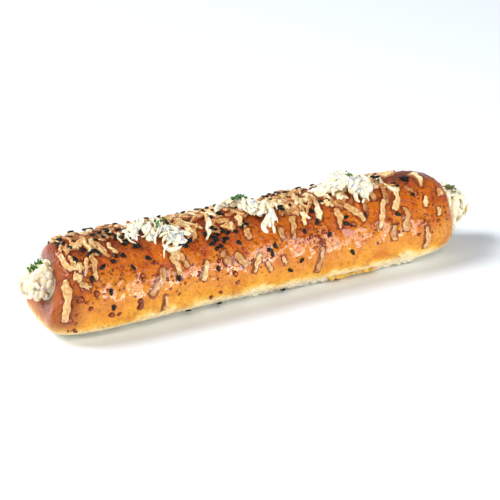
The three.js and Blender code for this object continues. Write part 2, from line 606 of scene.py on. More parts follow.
class Graph:
    """A node tree with a short way to add nodes to it."""

    tree: bpy.types.NodeTree

    def node(self, kind: str, inputs: dict[Any, Any] | None = None, **settings: Any) -> Any:
        """Add a node.

        Args:
            kind: The node's type name.
            inputs: A value or a socket for each input, by name or number.
            **settings: The node's own properties.

        Returns:
            The node.
        """
        node = self.tree.nodes.new(kind)
        for key, value in settings.items():
            setattr(node, key, value)
        for key, value in (inputs or {}).items():
            self.feed(node.inputs[key], value)
        return node

    def feed(self, socket: Socket, value: Any) -> None:
        """Link a socket to another, or set its value.

        Args:
            socket: The input socket.
            value: A socket to link it to, or a plain value.
        """
        if isinstance(value, bpy.types.NodeSocket):
            self.tree.links.new(value, socket)
        else:
            socket.default_value = value

    def math(self, operation: str, a: Any, b: Any = 0.0, clamp: bool = False) -> Socket:
        """Return the result of one sum."""
        node = self.node("ShaderNodeMath", {0: a, 1: b}, operation=operation, use_clamp=clamp)
        return node.outputs[0]

    def times(self, a: Any, b: Any) -> Socket:
        """Return one number times another."""
        return self.math("MULTIPLY", a, b)


class NodesTree(Graph):
    """A Geometry Nodes tree with named inputs, ending in plain, painted geometry."""

    def __init__(self, name: str) -> None:
        """Start an empty tree with its geometry in and out.

        Args:
            name: The tree's name.
        """
        self.tree = bpy.data.node_groups.new(name, "GeometryNodeTree")
        self.face = self.tree.interface
        self.face.new_socket("Geometry", in_out="INPUT", socket_type="NodeSocketGeometry")
        self.face.new_socket("Geometry", in_out="OUTPUT", socket_type="NodeSocketGeometry")
        self.source = self.tree.nodes.new("NodeGroupInput")
        self.identifiers: dict[str, str] = {}
        self.add_input("Material", "NodeSocketMaterial")

    def add_input(self, name: str, kind: str, default: Any = None) -> None:
        """Add a named input.

        Args:
            name: Its name.
            kind: Its socket's type name.
            default: Its value until it is set.
        """
        socket = self.face.new_socket(name, in_out="INPUT", socket_type=kind)
        if default is not None:
            socket.default_value = default
        self.identifiers[name] = socket.identifier

    def given(self, name: str) -> Socket:
        """Return the socket that brings a named input into the tree."""
        return self.source.outputs[name]

    def attribute(self, name: str, kind: str = "FLOAT") -> Socket:
        """Return a value carried on the points, by name."""
        node = self.node("GeometryNodeInputNamedAttribute", {"Name": name}, data_type=kind)
        return node.outputs["Attribute"]

    def close(self, geometry: Socket) -> None:
        """End the tree: realize the instances and set the material.

        Args:
            geometry: What the tree has made.
        """
        real = self.node("GeometryNodeRealizeInstances", {"Geometry": geometry})
        inputs = {"Geometry": real.outputs[0], "Material": self.given("Material")}
        painted = self.node("GeometryNodeSetMaterial", inputs)
        end = self.tree.nodes.new("NodeGroupOutput")
        self.tree.links.new(painted.outputs[0], end.inputs[0])

    def grow(self, name: str, source: bpy.types.Mesh, **inputs: Any) -> bpy.types.Mesh:
        """Run the tree on a mesh and take the plain result.

        Args:
            name: The result's name.
            source: The mesh that goes in.
            **inputs: The inputs' values, with spaces in their names as underscores.

        Returns:
            The mesh that comes out.
        """
        holder = placed(name + "_source", source)
        modifier = holder.modifiers.new("grow", "NODES")
        modifier.node_group = self.tree
        for key, value in inputs.items():
            modifier[self.identifiers[key.replace("_", " ")]] = value
        return settled(holder, name)


class GrainScatter(NodesTree):
    """Sets one of a few grains on every point, turned and sized at random."""

    def __init__(self, name: str, grains: Sequence[bpy.types.Object]) -> None:
        """Build the tree.

        Args:
            name: The tree's name.
            grains: The objects that it picks from.
        """
        super().__init__(name)
        self.add_input("Size", "NodeSocketFloat", 1.0)
        self.add_input("Size Spread", "NodeSocketFloat", 0.15)
        self.add_input("Wobble", "NodeSocketFloat", 0.1)
        self.add_input("Seed", "NodeSocketInt", 1)
        choice = self.node("GeometryNodeJoinGeometry")
        for grain in grains:
            info = self.node("GeometryNodeObjectInfo", {"Object": grain, "As Instance": True})
            self.tree.links.new(info.outputs["Geometry"], choice.inputs[0])
        picked = self.chance("INT", 0, len(grains) - 1, 0)
        low = self.math("SUBTRACT", 1.0, self.given("Size Spread"))
        high = self.math("ADD", 1.0, self.given("Size Spread"))
        size = self.times(self.chance("FLOAT", low, high, 1), self.given("Size"))
        own = self.times(size, self.attribute("size"))
        lean = self.times(self.given("Wobble"), -1.0)
        tips = [self.chance("FLOAT", lean, self.given("Wobble"), 2 + i) for i in range(2)]
        tip = self.node("ShaderNodeCombineXYZ", {"X": tips[0], "Y": tips[1]})
        back = self.attribute("facing", "FLOAT_VECTOR")
        facing = self.node("FunctionNodeEulerToRotation", {0: back})
        tipped = self.node("FunctionNodeEulerToRotation", {0: tip.outputs[0]})
        inputs = {"Rotation": facing.outputs[0], "Rotate By": tipped.outputs[0]}
        turned = self.node("FunctionNodeRotateRotation", inputs, rotation_space="LOCAL")
        inputs = {
            "Points": self.given("Geometry"),
            "Instance": choice.outputs[0],
            "Pick Instance": True,
            "Instance Index": picked,
            "Rotation": turned.outputs[0],
            "Scale": own,
        }
        self.close(self.node("GeometryNodeInstanceOnPoints", inputs).outputs[0])

    def chance(self, kind: str, low: Any, high: Any, salt: int) -> Socket:
        """Draw a random number for each point, from the tree's seed.

        Args:
            kind: "FLOAT" or "INT".
            low: The least that it can be.
            high: The most that it can be.
            salt: What sets this draw apart from the others.

        Returns:
            The number.
        """
        least, most, out = {"FLOAT": (2, 3, 1), "INT": (4, 5, 2)}[kind]
        seed = self.math("ADD", self.given("Seed"), float(salt))
        inputs = {least: low, most: high, "Seed": seed}
        return self.node("FunctionNodeRandomValue", inputs, data_type=kind).outputs[out]


class StrandWeave(NodesTree):
    """Sweeps a flattened round along every line, as thick as its points say."""

    def __init__(self) -> None:
        """Build the tree."""
        super().__init__("strand_weave")
        self.add_input("Girth", "NodeSocketFloat", 0.8 * MM)
        self.add_input("Flatness", "NodeSocketFloat", 0.55)
        self.add_input("Step", "NodeSocketFloat", 0.45 * MM)
        self.add_input("Facets", "NodeSocketInt", 8)
        self.add_input("Lumps", "NodeSocketFloat", 0.25 * MM)
        self.add_input("Lump Size", "NodeSocketFloat", 2.2 * MM)
        lines = self.node("GeometryNodeMeshToCurve", {"Mesh": self.given("Geometry")})
        inputs = {"Curve": lines.outputs[0]}
        smooth = self.node("GeometryNodeCurveSplineType", inputs, spline_type="CATMULL_ROM")
        inputs = {"Curve": smooth.outputs[0], "Length": self.given("Step")}
        even = self.node("GeometryNodeResampleCurve", inputs, mode="LENGTH")
        inputs = {"Curve": even.outputs[0], "Tilt": self.attribute("tilt")}
        tilted = self.node("GeometryNodeSetCurveTilt", inputs)
        inputs = {"Curve": tilted.outputs[0], "Radius": self.attribute("girth")}
        thick = self.node("GeometryNodeSetCurveRadius", inputs)
        inputs = {"Resolution": self.given("Facets"), "Radius": self.given("Girth")}
        ring = self.node("GeometryNodeCurvePrimitiveCircle", inputs)
        shape = self.node("ShaderNodeCombineXYZ", {"X": 1.0, "Y": self.given("Flatness"), "Z": 1.0})
        inputs = {"Geometry": ring.outputs[0], "Scale": shape.outputs[0]}
        oval = self.node("GeometryNodeTransform", inputs)
        inputs = {"Curve": thick.outputs[0], "Profile Curve": oval.outputs[0], "Fill Caps": True}
        swept = self.node("GeometryNodeCurveToMesh", inputs)
        if "Scale" in swept.inputs:
            self.tree.links.new(self.attribute("girth"), swept.inputs["Scale"])
        self.close(self.lumpy(swept.outputs[0]))

    def lumpy(self, geometry: Socket) -> Socket:
        """Push the strands' skin about with noise.

        Args:
            geometry: The plain strands.

        Returns:
            The lumpy ones.
        """
        scale = self.math("DIVIDE", 1.0, self.given("Lump Size"))
        noise = self.node("ShaderNodeTexNoise", {"Scale": scale, "Detail": 1.0})
        inputs = {0: noise.outputs["Color"], 1: (0.5, 0.5, 0.5)}
        centred = self.node("ShaderNodeVectorMath", inputs, operation="SUBTRACT")
        inputs = {0: centred.outputs[0], "Scale": self.given("Lumps")}
        push = self.node("ShaderNodeVectorMath", inputs, operation="SCALE")
        inputs = {"Geometry": geometry, "Offset": push.outputs[0]}
        moved = self.node("GeometryNodeSetPosition", inputs)
        smooth = self.node("GeometryNodeSetShadeSmooth", {"Geometry": moved.outputs[0]})
        return smooth.outputs[0]


def unlinked(name: str, mesh: bpy.types.Mesh) -> bpy.types.Object:
    """Return an object that stays out of the scene, for a tree to copy."""
    return bpy.data.objects.new(name, mesh)


def facing_mesh(
    name: str, points: Array, normals: Array, spins: Array, sizes: Array
) -> bpy.types.Mesh:
    """Make the loose points that a scatter tree fills.

    Args:
        name: The mesh's name.
        points: Places in millimetres.
        normals: The way that each grain's back faces.
        spins: Each grain's turn about its normal, from the +X side.
        sizes: Each grain's own scale.

    Returns:
        The mesh, with the turns as Euler angles.
    """
    mesh = bpy.data.meshes.new(name)
    mesh.from_pydata((points * MM).tolist(), [], [])
    turns = []
    for normal, spin in zip(normals, spins):
        up = Vector(normal)
        ahead = Vector((1, 0, 0))
        ahead = (ahead - up * ahead.dot(up)).normalized()
        side = up.cross(ahead)
        basis = Matrix((ahead, side, up)).transposed()
        turns.append((basis @ Matrix.Rotation(spin, 3, "Z")).to_euler()[:])
    facing = mesh.attributes.new("facing", "FLOAT_VECTOR", "POINT")
    facing.data.foreach_set("vector", np.array(turns, np.float32).ravel())
    carry(mesh, "size", sizes)
    return mesh


# ---- Finishes ----


def colour(code: str) -> tuple[float, float, float, float]:
    """Turn a screen colour into a linear one.

    Args:
        code: Red, green and blue in hexadecimal, such as "f2a83c".

    Returns:
        Linear red, green, blue and alpha.
    """
    parts = [int(code[i : i + 2], 16) / 255 for i in (0, 2, 4)]
    linear = [p / 12.92 if p <= 0.04045 else ((p + 0.055) / 1.055) ** 2.4 for p in parts]
    return (linear[0], linear[1], linear[2], 1.0)


class Shader(Graph):
    """One material's node graph; each method adds nodes and returns what comes out."""

    def __init__(self, name: str) -> None:
        """Start a material with its main shader and object coordinates in millimetres.

        Args:
            name: The material's name.
        """
        self.material = bpy.data.materials.new(name)
        self.material.use_nodes = True
        self.tree = self.material.node_tree
        self.tree.nodes.clear()
        self.bsdf = self.tree.nodes.new("ShaderNodeBsdfPrincipled")
        output = self.tree.nodes.new("ShaderNodeOutputMaterial")
        self.tree.links.new(self.bsdf.outputs[0], output.inputs["Surface"])
        coordinates = self.tree.nodes.new("ShaderNodeTexCoord").outputs["Object"]
        inputs = {0: coordinates, "Scale": 1 / MM}
        self.place = self.node("ShaderNodeVectorMath", inputs, operation="SCALE").outputs[0]
        split = self.node("ShaderNodeSeparateXYZ", {0: self.place})
        self.x, self.y, self.z = split.outputs

    def set(self, **values: Any) -> None:
        """Set the main shader's sockets, with spaces in their names as underscores."""
        for key, value in values.items():
            self.feed(self.bsdf.inputs[key.replace("_", " ")], value)

    def swing(self, noise: Socket, size: Any) -> Socket:
        """Return noise centred on 0 and as large as the size."""
        return self.times(self.math("SUBTRACT", noise, 0.5), size)

    def noise(self, cell: float, detail: float = 2.0) -> Socket:
        """Return noise from 0 to 1 with lumps of the given size in millimetres."""
        inputs = {"Vector": self.place, "Scale": 1 / cell, "Detail": detail}
        return self.node("ShaderNodeTexNoise", inputs).outputs["Fac"]

    def cells(self, cell: float, feature: str = "F1") -> Any:
        """Return a cell pattern's node, its cells the given size in millimetres."""
        inputs = {"Vector": self.place, "Scale": 1 / cell}
        return self.node("ShaderNodeTexVoronoi", inputs, feature=feature)

    def ease(self, value: Any, low: float, high: float) -> Socket:
        """Return 0 below low and 1 above high, eased between; low may be the larger."""
        inputs = {"Value": value, "From Min": low, "From Max": high}
        return self.node("ShaderNodeMapRange", inputs, interpolation_type="SMOOTHSTEP").outputs[0]

    def mix(self, factor: Any, base: Any, code: str) -> Socket:
        """Return a colour mixed towards a screen colour by factor."""
        inputs = {0: factor, 6: base, 7: colour(code)}
        return self.node("ShaderNodeMix", inputs, data_type="RGBA").outputs[2]

    def ramp(self, factor: Any, stops: Sequence[tuple[float, str]]) -> Socket:
        """Pick a colour from a row of stops.

        Args:
            factor: Where along the row to look, from 0 to 1.
            stops: Each stop's position and screen colour.

        Returns:
            The colour.
        """
        node = self.node("ShaderNodeValToRGB", {0: factor})
        ramp = node.color_ramp
        while len(ramp.elements) < len(stops):
            ramp.elements.new(0.5)
        for element, (position, code) in zip(ramp.elements, stops):
            element.position = position
            element.color = colour(code)
        return node.outputs[0]

    def carried(self, name: str) -> Socket:
        """Return a number carried on the mesh's points."""
        return self.node("ShaderNodeAttribute", attribute_name=name).outputs["Fac"]

    def bump(self, height: Any, depth: float, strength: float, under: Any = None) -> Socket:
        """Bend the surface's normal by a height.

        Args:
            height: A number from 0 to 1.
            depth: How far a height of 1 stands out, in millimetres.
            strength: How much of the bend shows.
            under: The normal to start from, if not the surface's own.

        Returns:
            The bent normal.
        """
        inputs = {"Height": height, "Distance": depth * MM, "Strength": strength}
        if under is not None:
            inputs["Normal"] = under
        return self.node("ShaderNodeBump", inputs).outputs[0]


@dataclass(frozen=True)
class CrustFinish:
    """Glazed baked crust: cream at its foot, golden, orange, then red-brown on top; the foot's
    cream is partly painted light, lifted near white against the shade under it.
    """

    stops: tuple[tuple[float, str], ...] = (
        # The two lowest stops are the real pale rim lifted near white as painted light, making up
        # for the shade on the foot where it curves under.
        (-40, "fff3d2"),
        (-35, "ffe7b2"),
        (-28, "f9db95"),
        (-21, "f0b545"),
        (-12, "e4981f"),
        (0, "dd8c1b"),
        (16, "d67f18"),
        (36, "cd6a10"),
        (52, "ba5a10"),
        (66, "9c490f"),
        (78, "74320b"),
        (90, "602809"),
    )
    end: str = "924014"
    russet: str = "b0430f"
    brown: str = "84350f"
    speck: str = "84230b"
    scorch: str = "7d2c0c"
    low: float = -46.0
    high: float = 100.0
    roughness: float = 0.13

    def material(self) -> bpy.types.Material:
        """Build the material.

        Returns:
            The material.
        """
        s = Shader("glazed_crust")
        broad, middle, small = s.noise(22), s.noise(7, 3), s.noise(1.7, 3)
        climb = s.carried("climb")
        sway = s.swing(broad, 60.0)
        sway = s.math("ADD", sway, s.swing(middle, 42.0))
        free = s.math("ADD", 0.14, s.times(s.ease(climb, -34, -8), 0.86))
        level = s.math("ADD", climb, s.times(sway, free))
        pale = s.math("ADD", 4.0, s.times(s.ease(s.x, -30, 4), 3.0))
        level = s.math("SUBTRACT", level, s.times(pale, s.ease(climb, -8, -22)))
        mild = s.times(s.ease(s.x, -20, 40), 11.0)
        upper = s.times(s.ease(climb, 40, 56), s.ease(climb, 92, 76))
        level = s.math("SUBTRACT", level, s.times(mild, upper))
        span = self.high - self.low
        level = s.math("DIVIDE", s.math("SUBTRACT", level, self.low), span)
        stops = [((degrees - self.low) / span, code) for degrees, code in self.stops]
        base = s.ramp(level, stops)
        base = self.aged(s, base, sway)
        ripe = s.math("ADD", 0.3, s.times(s.ease(climb, 4, 34), 0.45))
        base = s.mix(s.times(s.ease(middle, 0.5, 0.68), ripe), base, self.russet)
        base = s.mix(s.times(s.ease(small, 0.54, 0.7), ripe), base, self.brown)
        base = self.marked(s, base, climb)
        wobble = s.swing(small, 1.0)
        burnt = s.ease(s.math("ADD", s.carried("scorch"), wobble), 0.35, 0.9)
        base = s.mix(s.times(burnt, 0.8), base, self.scorch)
        dull = s.times(s.ease(s.noise(11, 2), 0.42, 0.6), 0.22)
        gloss = s.math("ADD", self.roughness, dull)
        glaze = s.bump(s.noise(2.4, 2), 0.3, 0.5)
        s.set(Base_Color=base, Roughness=gloss, Normal=self.skin(s), Coat_Normal=glaze)
        s.set(Specular_IOR_Level=0.2, Coat_Weight=0.45, Coat_Roughness=0.06)
        s.set(Subsurface_Weight=0.06, Subsurface_Radius=(1.0, 0.45, 0.2), Subsurface_Scale=1.5 * MM)
        return s.material

    def aged(self, s: Shader, base: Socket, sway: Socket) -> Socket:
        """Darken the two ends, the left one most.

        Args:
            s: The material's graph.
            base: The colour so far.
            sway: Noise that moves the edge of the dark part.

        Returns:
            The darkened colour.
        """
        reach = s.math("ADD", s.x, s.times(sway, 0.2))
        left = s.times(s.ease(reach, -97, -107), 0.85)
        right = s.times(s.ease(reach, 100, 116), 0.3)
        high = s.ease(s.z, 4, 14)
        return s.mix(s.times(s.math("ADD", left, right), high), base, self.end)

    def marked(self, s: Shader, base: Socket, climb: Socket) -> Socket:
        """Add the burnt specks.

        Args:
            s: The material's graph.
            base: The colour so far.
            climb: How far round the crust each point lies, in degrees.

        Returns:
            The marked colour.
        """
        for cell, size, rare in ((1.5, 0.32, 0.72), (3.0, 0.28, 0.62)):
            spots = s.times(self.specks(s, cell, size, rare), s.ease(climb, -18, 14))
            base = s.mix(s.times(spots, 0.85), base, self.speck)
        return base

    def specks(self, s: Shader, cell: float, size: float, rare: float) -> Socket:
        """Make the mask of burnt specks.

        Args:
            s: The material's graph.
            cell: The specks' spacing in millimetres.
            size: Their radius as a share of the spacing.
            rare: The share of places left without a speck.

        Returns:
            1 on a speck and 0 off it.
        """
        cells = s.cells(cell)
        near = s.ease(cells.outputs["Distance"], size, size * 0.45)
        hue = s.node("ShaderNodeSeparateColor", {0: cells.outputs["Color"]})
        return s.times(near, s.ease(hue.outputs[0], rare, rare + 0.08))

    def skin(self, s: Shader) -> Socket:
        """Make the crust's pimpled skin.

        Args:
            s: The material's graph.

        Returns:
            The bent normal.
        """
        waves = s.bump(s.noise(6.0, 2), 3.2, 0.9)
        rough = s.bump(s.noise(2.2, 3), 1.1, 0.8, waves)
        pimples = s.cells(1.5, "SMOOTH_F1").outputs["Distance"]
        return s.bump(pimples, 0.5, 0.8, rough)


@dataclass(frozen=True)
class BakedCheeseFinish:
    """Melted, browned cheese: dark at its burnt rim, waxy and paler within."""

    rim: str = "74270b"
    toast: str = "a4501f"
    caramel: str = "8a481c"
    tan: str = "b06f36"
    beige: str = "d29f5e"
    cream: str = "f2d49a"
    ivory: str = "fdecc6"
    yellow: str = "f8c43c"
    roughness: float = 0.26

    def material(self) -> bpy.types.Material:
        """Build the material.

        Returns:
            The material.
        """
        s = Shader("baked_cheese")
        tone, edge, ripe, burn = (s.carried(k) for k in ("tone", "edge", "ripe", "burn"))
        wild = s.math("SUBTRACT", 1.8, s.times(burn, 0.9))
        mottle = s.swing(s.noise(1.6, 3), wild)
        shade = s.math("ADD", tone, mottle)
        stops = [(0.0, self.caramel), (0.22, self.tan), (0.48, self.beige)]
        stops += [(0.85, self.cream), (1.0, self.ivory)]
        body = s.ramp(shade, stops)
        body = s.mix(ripe, body, self.yellow)
        blotch = s.ease(s.noise(2.8, 3), 0.56, 0.7)
        body = s.mix(s.times(blotch, 0.5), body, self.toast)
        wobble = s.swing(s.noise(1.4, 2), 0.9)
        near = s.math("ADD", edge, wobble)
        raw = s.math("ADD", burn, ripe, clamp=True)
        toasted = s.times(s.ease(near, 0.1, 0.8), s.math("SUBTRACT", 1.0, raw))
        body = s.mix(s.times(toasted, 0.9), body, self.toast)
        burnt = s.times(s.ease(near, 0.6, 0.85), burn)
        body = s.mix(burnt, body, self.rim)
        normal = s.bump(s.noise(1.2, 2), 0.3, 0.5, s.bump(s.noise(3.0, 2), 1.2, 0.6))
        s.set(Base_Color=body, Roughness=self.roughness, Normal=normal, Coat_Weight=0.3)
        s.set(Coat_Roughness=0.08, Subsurface_Weight=0.3)
        s.set(Subsurface_Radius=(1.0, 0.6, 0.3), Subsurface_Scale=1.5 * MM)
        return s.material


@dataclass(frozen=True)
class BlisterFinish:
    """Small burnt blisters: dark red ring, glossy amber top."""

    ring: str = "641a04"
    top: str = "b4561c"
    dark: str = "8e330c"

    def material(self) -> bpy.types.Material:
        """Build the material.

        Returns:
            The material.
        """
        s = Shader("crust_blister")
        shade = s.math("ADD", s.carried("edge"), s.times(s.noise(1.0), 0.3))
        top = s.mix(s.ease(s.noise(6.0, 2), 0.42, 0.56), colour(self.top), self.dark)
        body = s.mix(s.ease(shade, 0.35, 0.75), top, self.ring)
        normal = s.bump(s.noise(0.8, 2), 0.3, 0.5)
        s.set(Base_Color=body, Roughness=0.3, Normal=normal, Specular_IOR_Level=0.2)
        s.set(Coat_Weight=0.35, Coat_Roughness=0.06)
        return s.material


@dataclass(frozen=True)
class FreshFinish:
    """Moist white grated filling, faintly translucent, creamier and greener in places."""

    white: str = "fbecd4"
    cream: str = "f4dfb0"
    green: str = "cbcf98"
    roughness: float = 0.36

    def material(self) -> bpy.types.Material:
        """Build the material.

        Returns:
            The material.
        """
        s = Shader("fresh_filling")
        patch = s.ease(s.noise(4.0, 3), 0.46, 0.7)
        body = s.mix(s.times(patch, 0.6), colour(self.white), self.cream)
        tint = s.ease(s.noise(2.4, 2), 0.58, 0.75)
        body = s.mix(s.times(tint, 0.4), body, self.green)
        normal = s.bump(s.noise(0.9, 2), 0.2, 0.4)
        s.set(Base_Color=body, Roughness=self.roughness, Normal=normal)
        s.set(Subsurface_Weight=1.0, Subsurface_Radius=(1.0, 0.85, 0.5))
        s.set(Subsurface_Scale=1.2 * MM, Coat_Weight=0.2, Coat_Roughness=0.2)
        return s.material


@dataclass(frozen=True)
class SesameFinish:
    """Black sesame seed coat, satin, with a faint brown bloom."""

    black: str = "060505"
    brown: str = "17100c"

    def material(self) -> bpy.types.Material:
        """Build the material.

        Returns:
            The material.
        """
        s = Shader("black_sesame")
        body = s.mix(s.ease(s.noise(0.8, 3), 0.45, 0.75), colour(self.black), self.brown)
        normal = s.bump(s.noise(0.35, 2), 0.08, 0.5)
        s.set(Base_Color=body, Roughness=0.36, Normal=normal, Specular_IOR_Level=0.3)
        return s.material


@dataclass(frozen=True)
class ChiveFinish:
    """Chopped chives: fresh green with darker and yellower streaks."""

    name: str = "chive"
    green: str = "3f8420"
    dark: str = "1d4d12"
    light: str = "8cb23e"

    def material(self) -> bpy.types.Material:
        """Build the material.

        Returns:
            The material.
        """
        s = Shader(self.name)
        body = s.mix(s.ease(s.noise(1.2, 3), 0.4, 0.65), colour(self.dark), self.green)
        body = s.mix(s.ease(s.noise(2.1, 2), 0.55, 0.75), body, self.light)
        s.set(Base_Color=body, Roughness=0.35, Normal=s.bump(s.noise(0.5), 0.1, 0.5))
        s.set(Subsurface_Weight=0.1, Subsurface_Scale=0.6 * MM)
        return s.material


# ---- The crust ----


@dataclass
class Crust:
    """The loaf itself: a fine skin from mouth to mouth and the tunnel's wall."""

    shape: LoafShape
    stations: int = 390
    sectors: int = 204
    wall_stations: int = 14
    inset: float = 1.5
    rim_scale: float = 0.7
    profile_samples: int = 4000
    scorch_reach: float = 1.3
    low_reach: float = 25.5

    def along_stations(self) -> Array:
        """Space the rings evenly over the loaf's side outline.

        Returns:
            The x of each ring.
        """
        left, right = self.shape.mouth(-1), self.shape.mouth(1)
        turn = np.linspace(0, np.pi, self.profile_samples)
        x = (left + right) / 2 - (right - left) / 2 * np.cos(turn)
        outline = np.stack([x, self.shape.end_scale(x) * self.shape.mean_radius])
        run = np.concatenate([[0], np.cumsum(np.linalg.norm(np.diff(outline), axis=0))])
        return np.interp(np.linspace(0, run[-1], self.stations), run, x)

    def outer(self) -> Array:
        """Lay out the outer skin, with the baked relief.

        Returns:
            A grid of points, by ring and by sector.
        """
        x = self.along_stations()
        arcs = np.arange(self.sectors) * (2 * np.pi / self.sectors) * self.shape.mean_radius
        grid = self.shape.base(x[:, None], arcs[None, :])
        ahead = np.gradient(grid, axis=0)
        padded = np.concatenate([grid[:, -1:], grid, grid[:, :1]], axis=1)
        around = (padded[:, 2:] - padded[:, :-2]) / 2
        normal = np.cross(ahead, around)
        size = np.linalg.norm(normal, axis=-1, keepdims=True)
        normal = normal / np.maximum(size, 1e-9)
        rim = smoothstep(self.shape.end_scale(x), self.shape.mouth_scale, self.rim_scale)[:, None]
        grid = grid + normal * (self.shape.relief(grid) * rim)[..., None]
        grid[..., 2] = np.maximum(grid[..., 2], 0)
        return grid

    def wall(self) -> list[Array]:
        """Lay out the tunnel's wall.

        Returns:
            Its rings, from the right mouth to the left.
        """
        turn = np.arange(self.sectors) * (2 * np.pi / self.sectors)
        first, last = self.shape.mouth(1) - self.inset, self.shape.mouth(-1) + self.inset
        rings = []
        for x in np.linspace(first, last, self.wall_stations):
            y = -self.shape.tunnel_radius * np.cos(turn)
            z = self.shape.tunnel_height + self.shape.tunnel_radius * np.sin(turn)
            rings.append(self.shape.leaned(np.full(len(turn), x), y, z))
        return rings

    def scorch(self, grid: Array, spots: Sequence[Spot]) -> Array:
        """Find how browned the crust is beside the cheese on it.

        Args:
            grid: The outer skin's points.
            spots: Where the shreds lie.

        Returns:
            A number from 0 to 1 for each point.
        """
        flat = self.shape.locate(grid.reshape(-1, 3))
        dark = np.zeros(len(flat))
        for spot in spots:
            ahead, side = spot.off(*flat.T)
            past_end = np.maximum(np.abs(ahead) - spot.length / 2, 0)
            past_side = np.maximum(np.abs(side) - spot.width / 2, 0)
            away = np.hypot(past_end, past_side)
            dark = np.maximum(dark, 1 - smoothstep(away, 0, self.scorch_reach))
        return dark.reshape(grid.shape[:2])

    def climb(self, grid: Array) -> Array:
        """Find how far round the crust its points lie, the same on front and back.

        Args:
            grid: The outer skin's points.

        Returns:
            Degrees for each point: -40 at the foot, 0 at the widest, 90 on the ridge.
        """
        turn = np.arange(self.sectors) * (360 / self.sectors)
        turn = np.where(turn > 270, turn - 360, turn)
        degrees = np.broadcast_to(90 - np.abs(turn - 90), grid.shape[:2])
        fall = (grid[..., 2] - self.shape.widest_height) / self.low_reach
        low = np.degrees(np.arcsin(np.clip(fall, -1, 0)))
        return np.where(degrees < 0, np.maximum(degrees, low), degrees)

    def build(self, material: bpy.types.Material, spots: Sequence[Spot]) -> bpy.types.Object:
        """Make the loaf.

        Args:
            material: The crust's finish.
            spots: Where the shreds lie.

        Returns:
            The piece.
        """
        grid = self.outer()
        dark = self.scorch(grid, spots)
        wall = self.wall()
        skin = Skin()
        plain = [np.zeros(self.sectors)] * len(wall)
        climb = [*self.climb(grid), *plain]
        skin.rings([*grid, *wall], loop=True, scorch=[*dark, *plain], climb=climb)
        return dressed("bread_crust", skin.mesh("bread_crust"), material, ["bread"])


# ---- Baked cheese ----


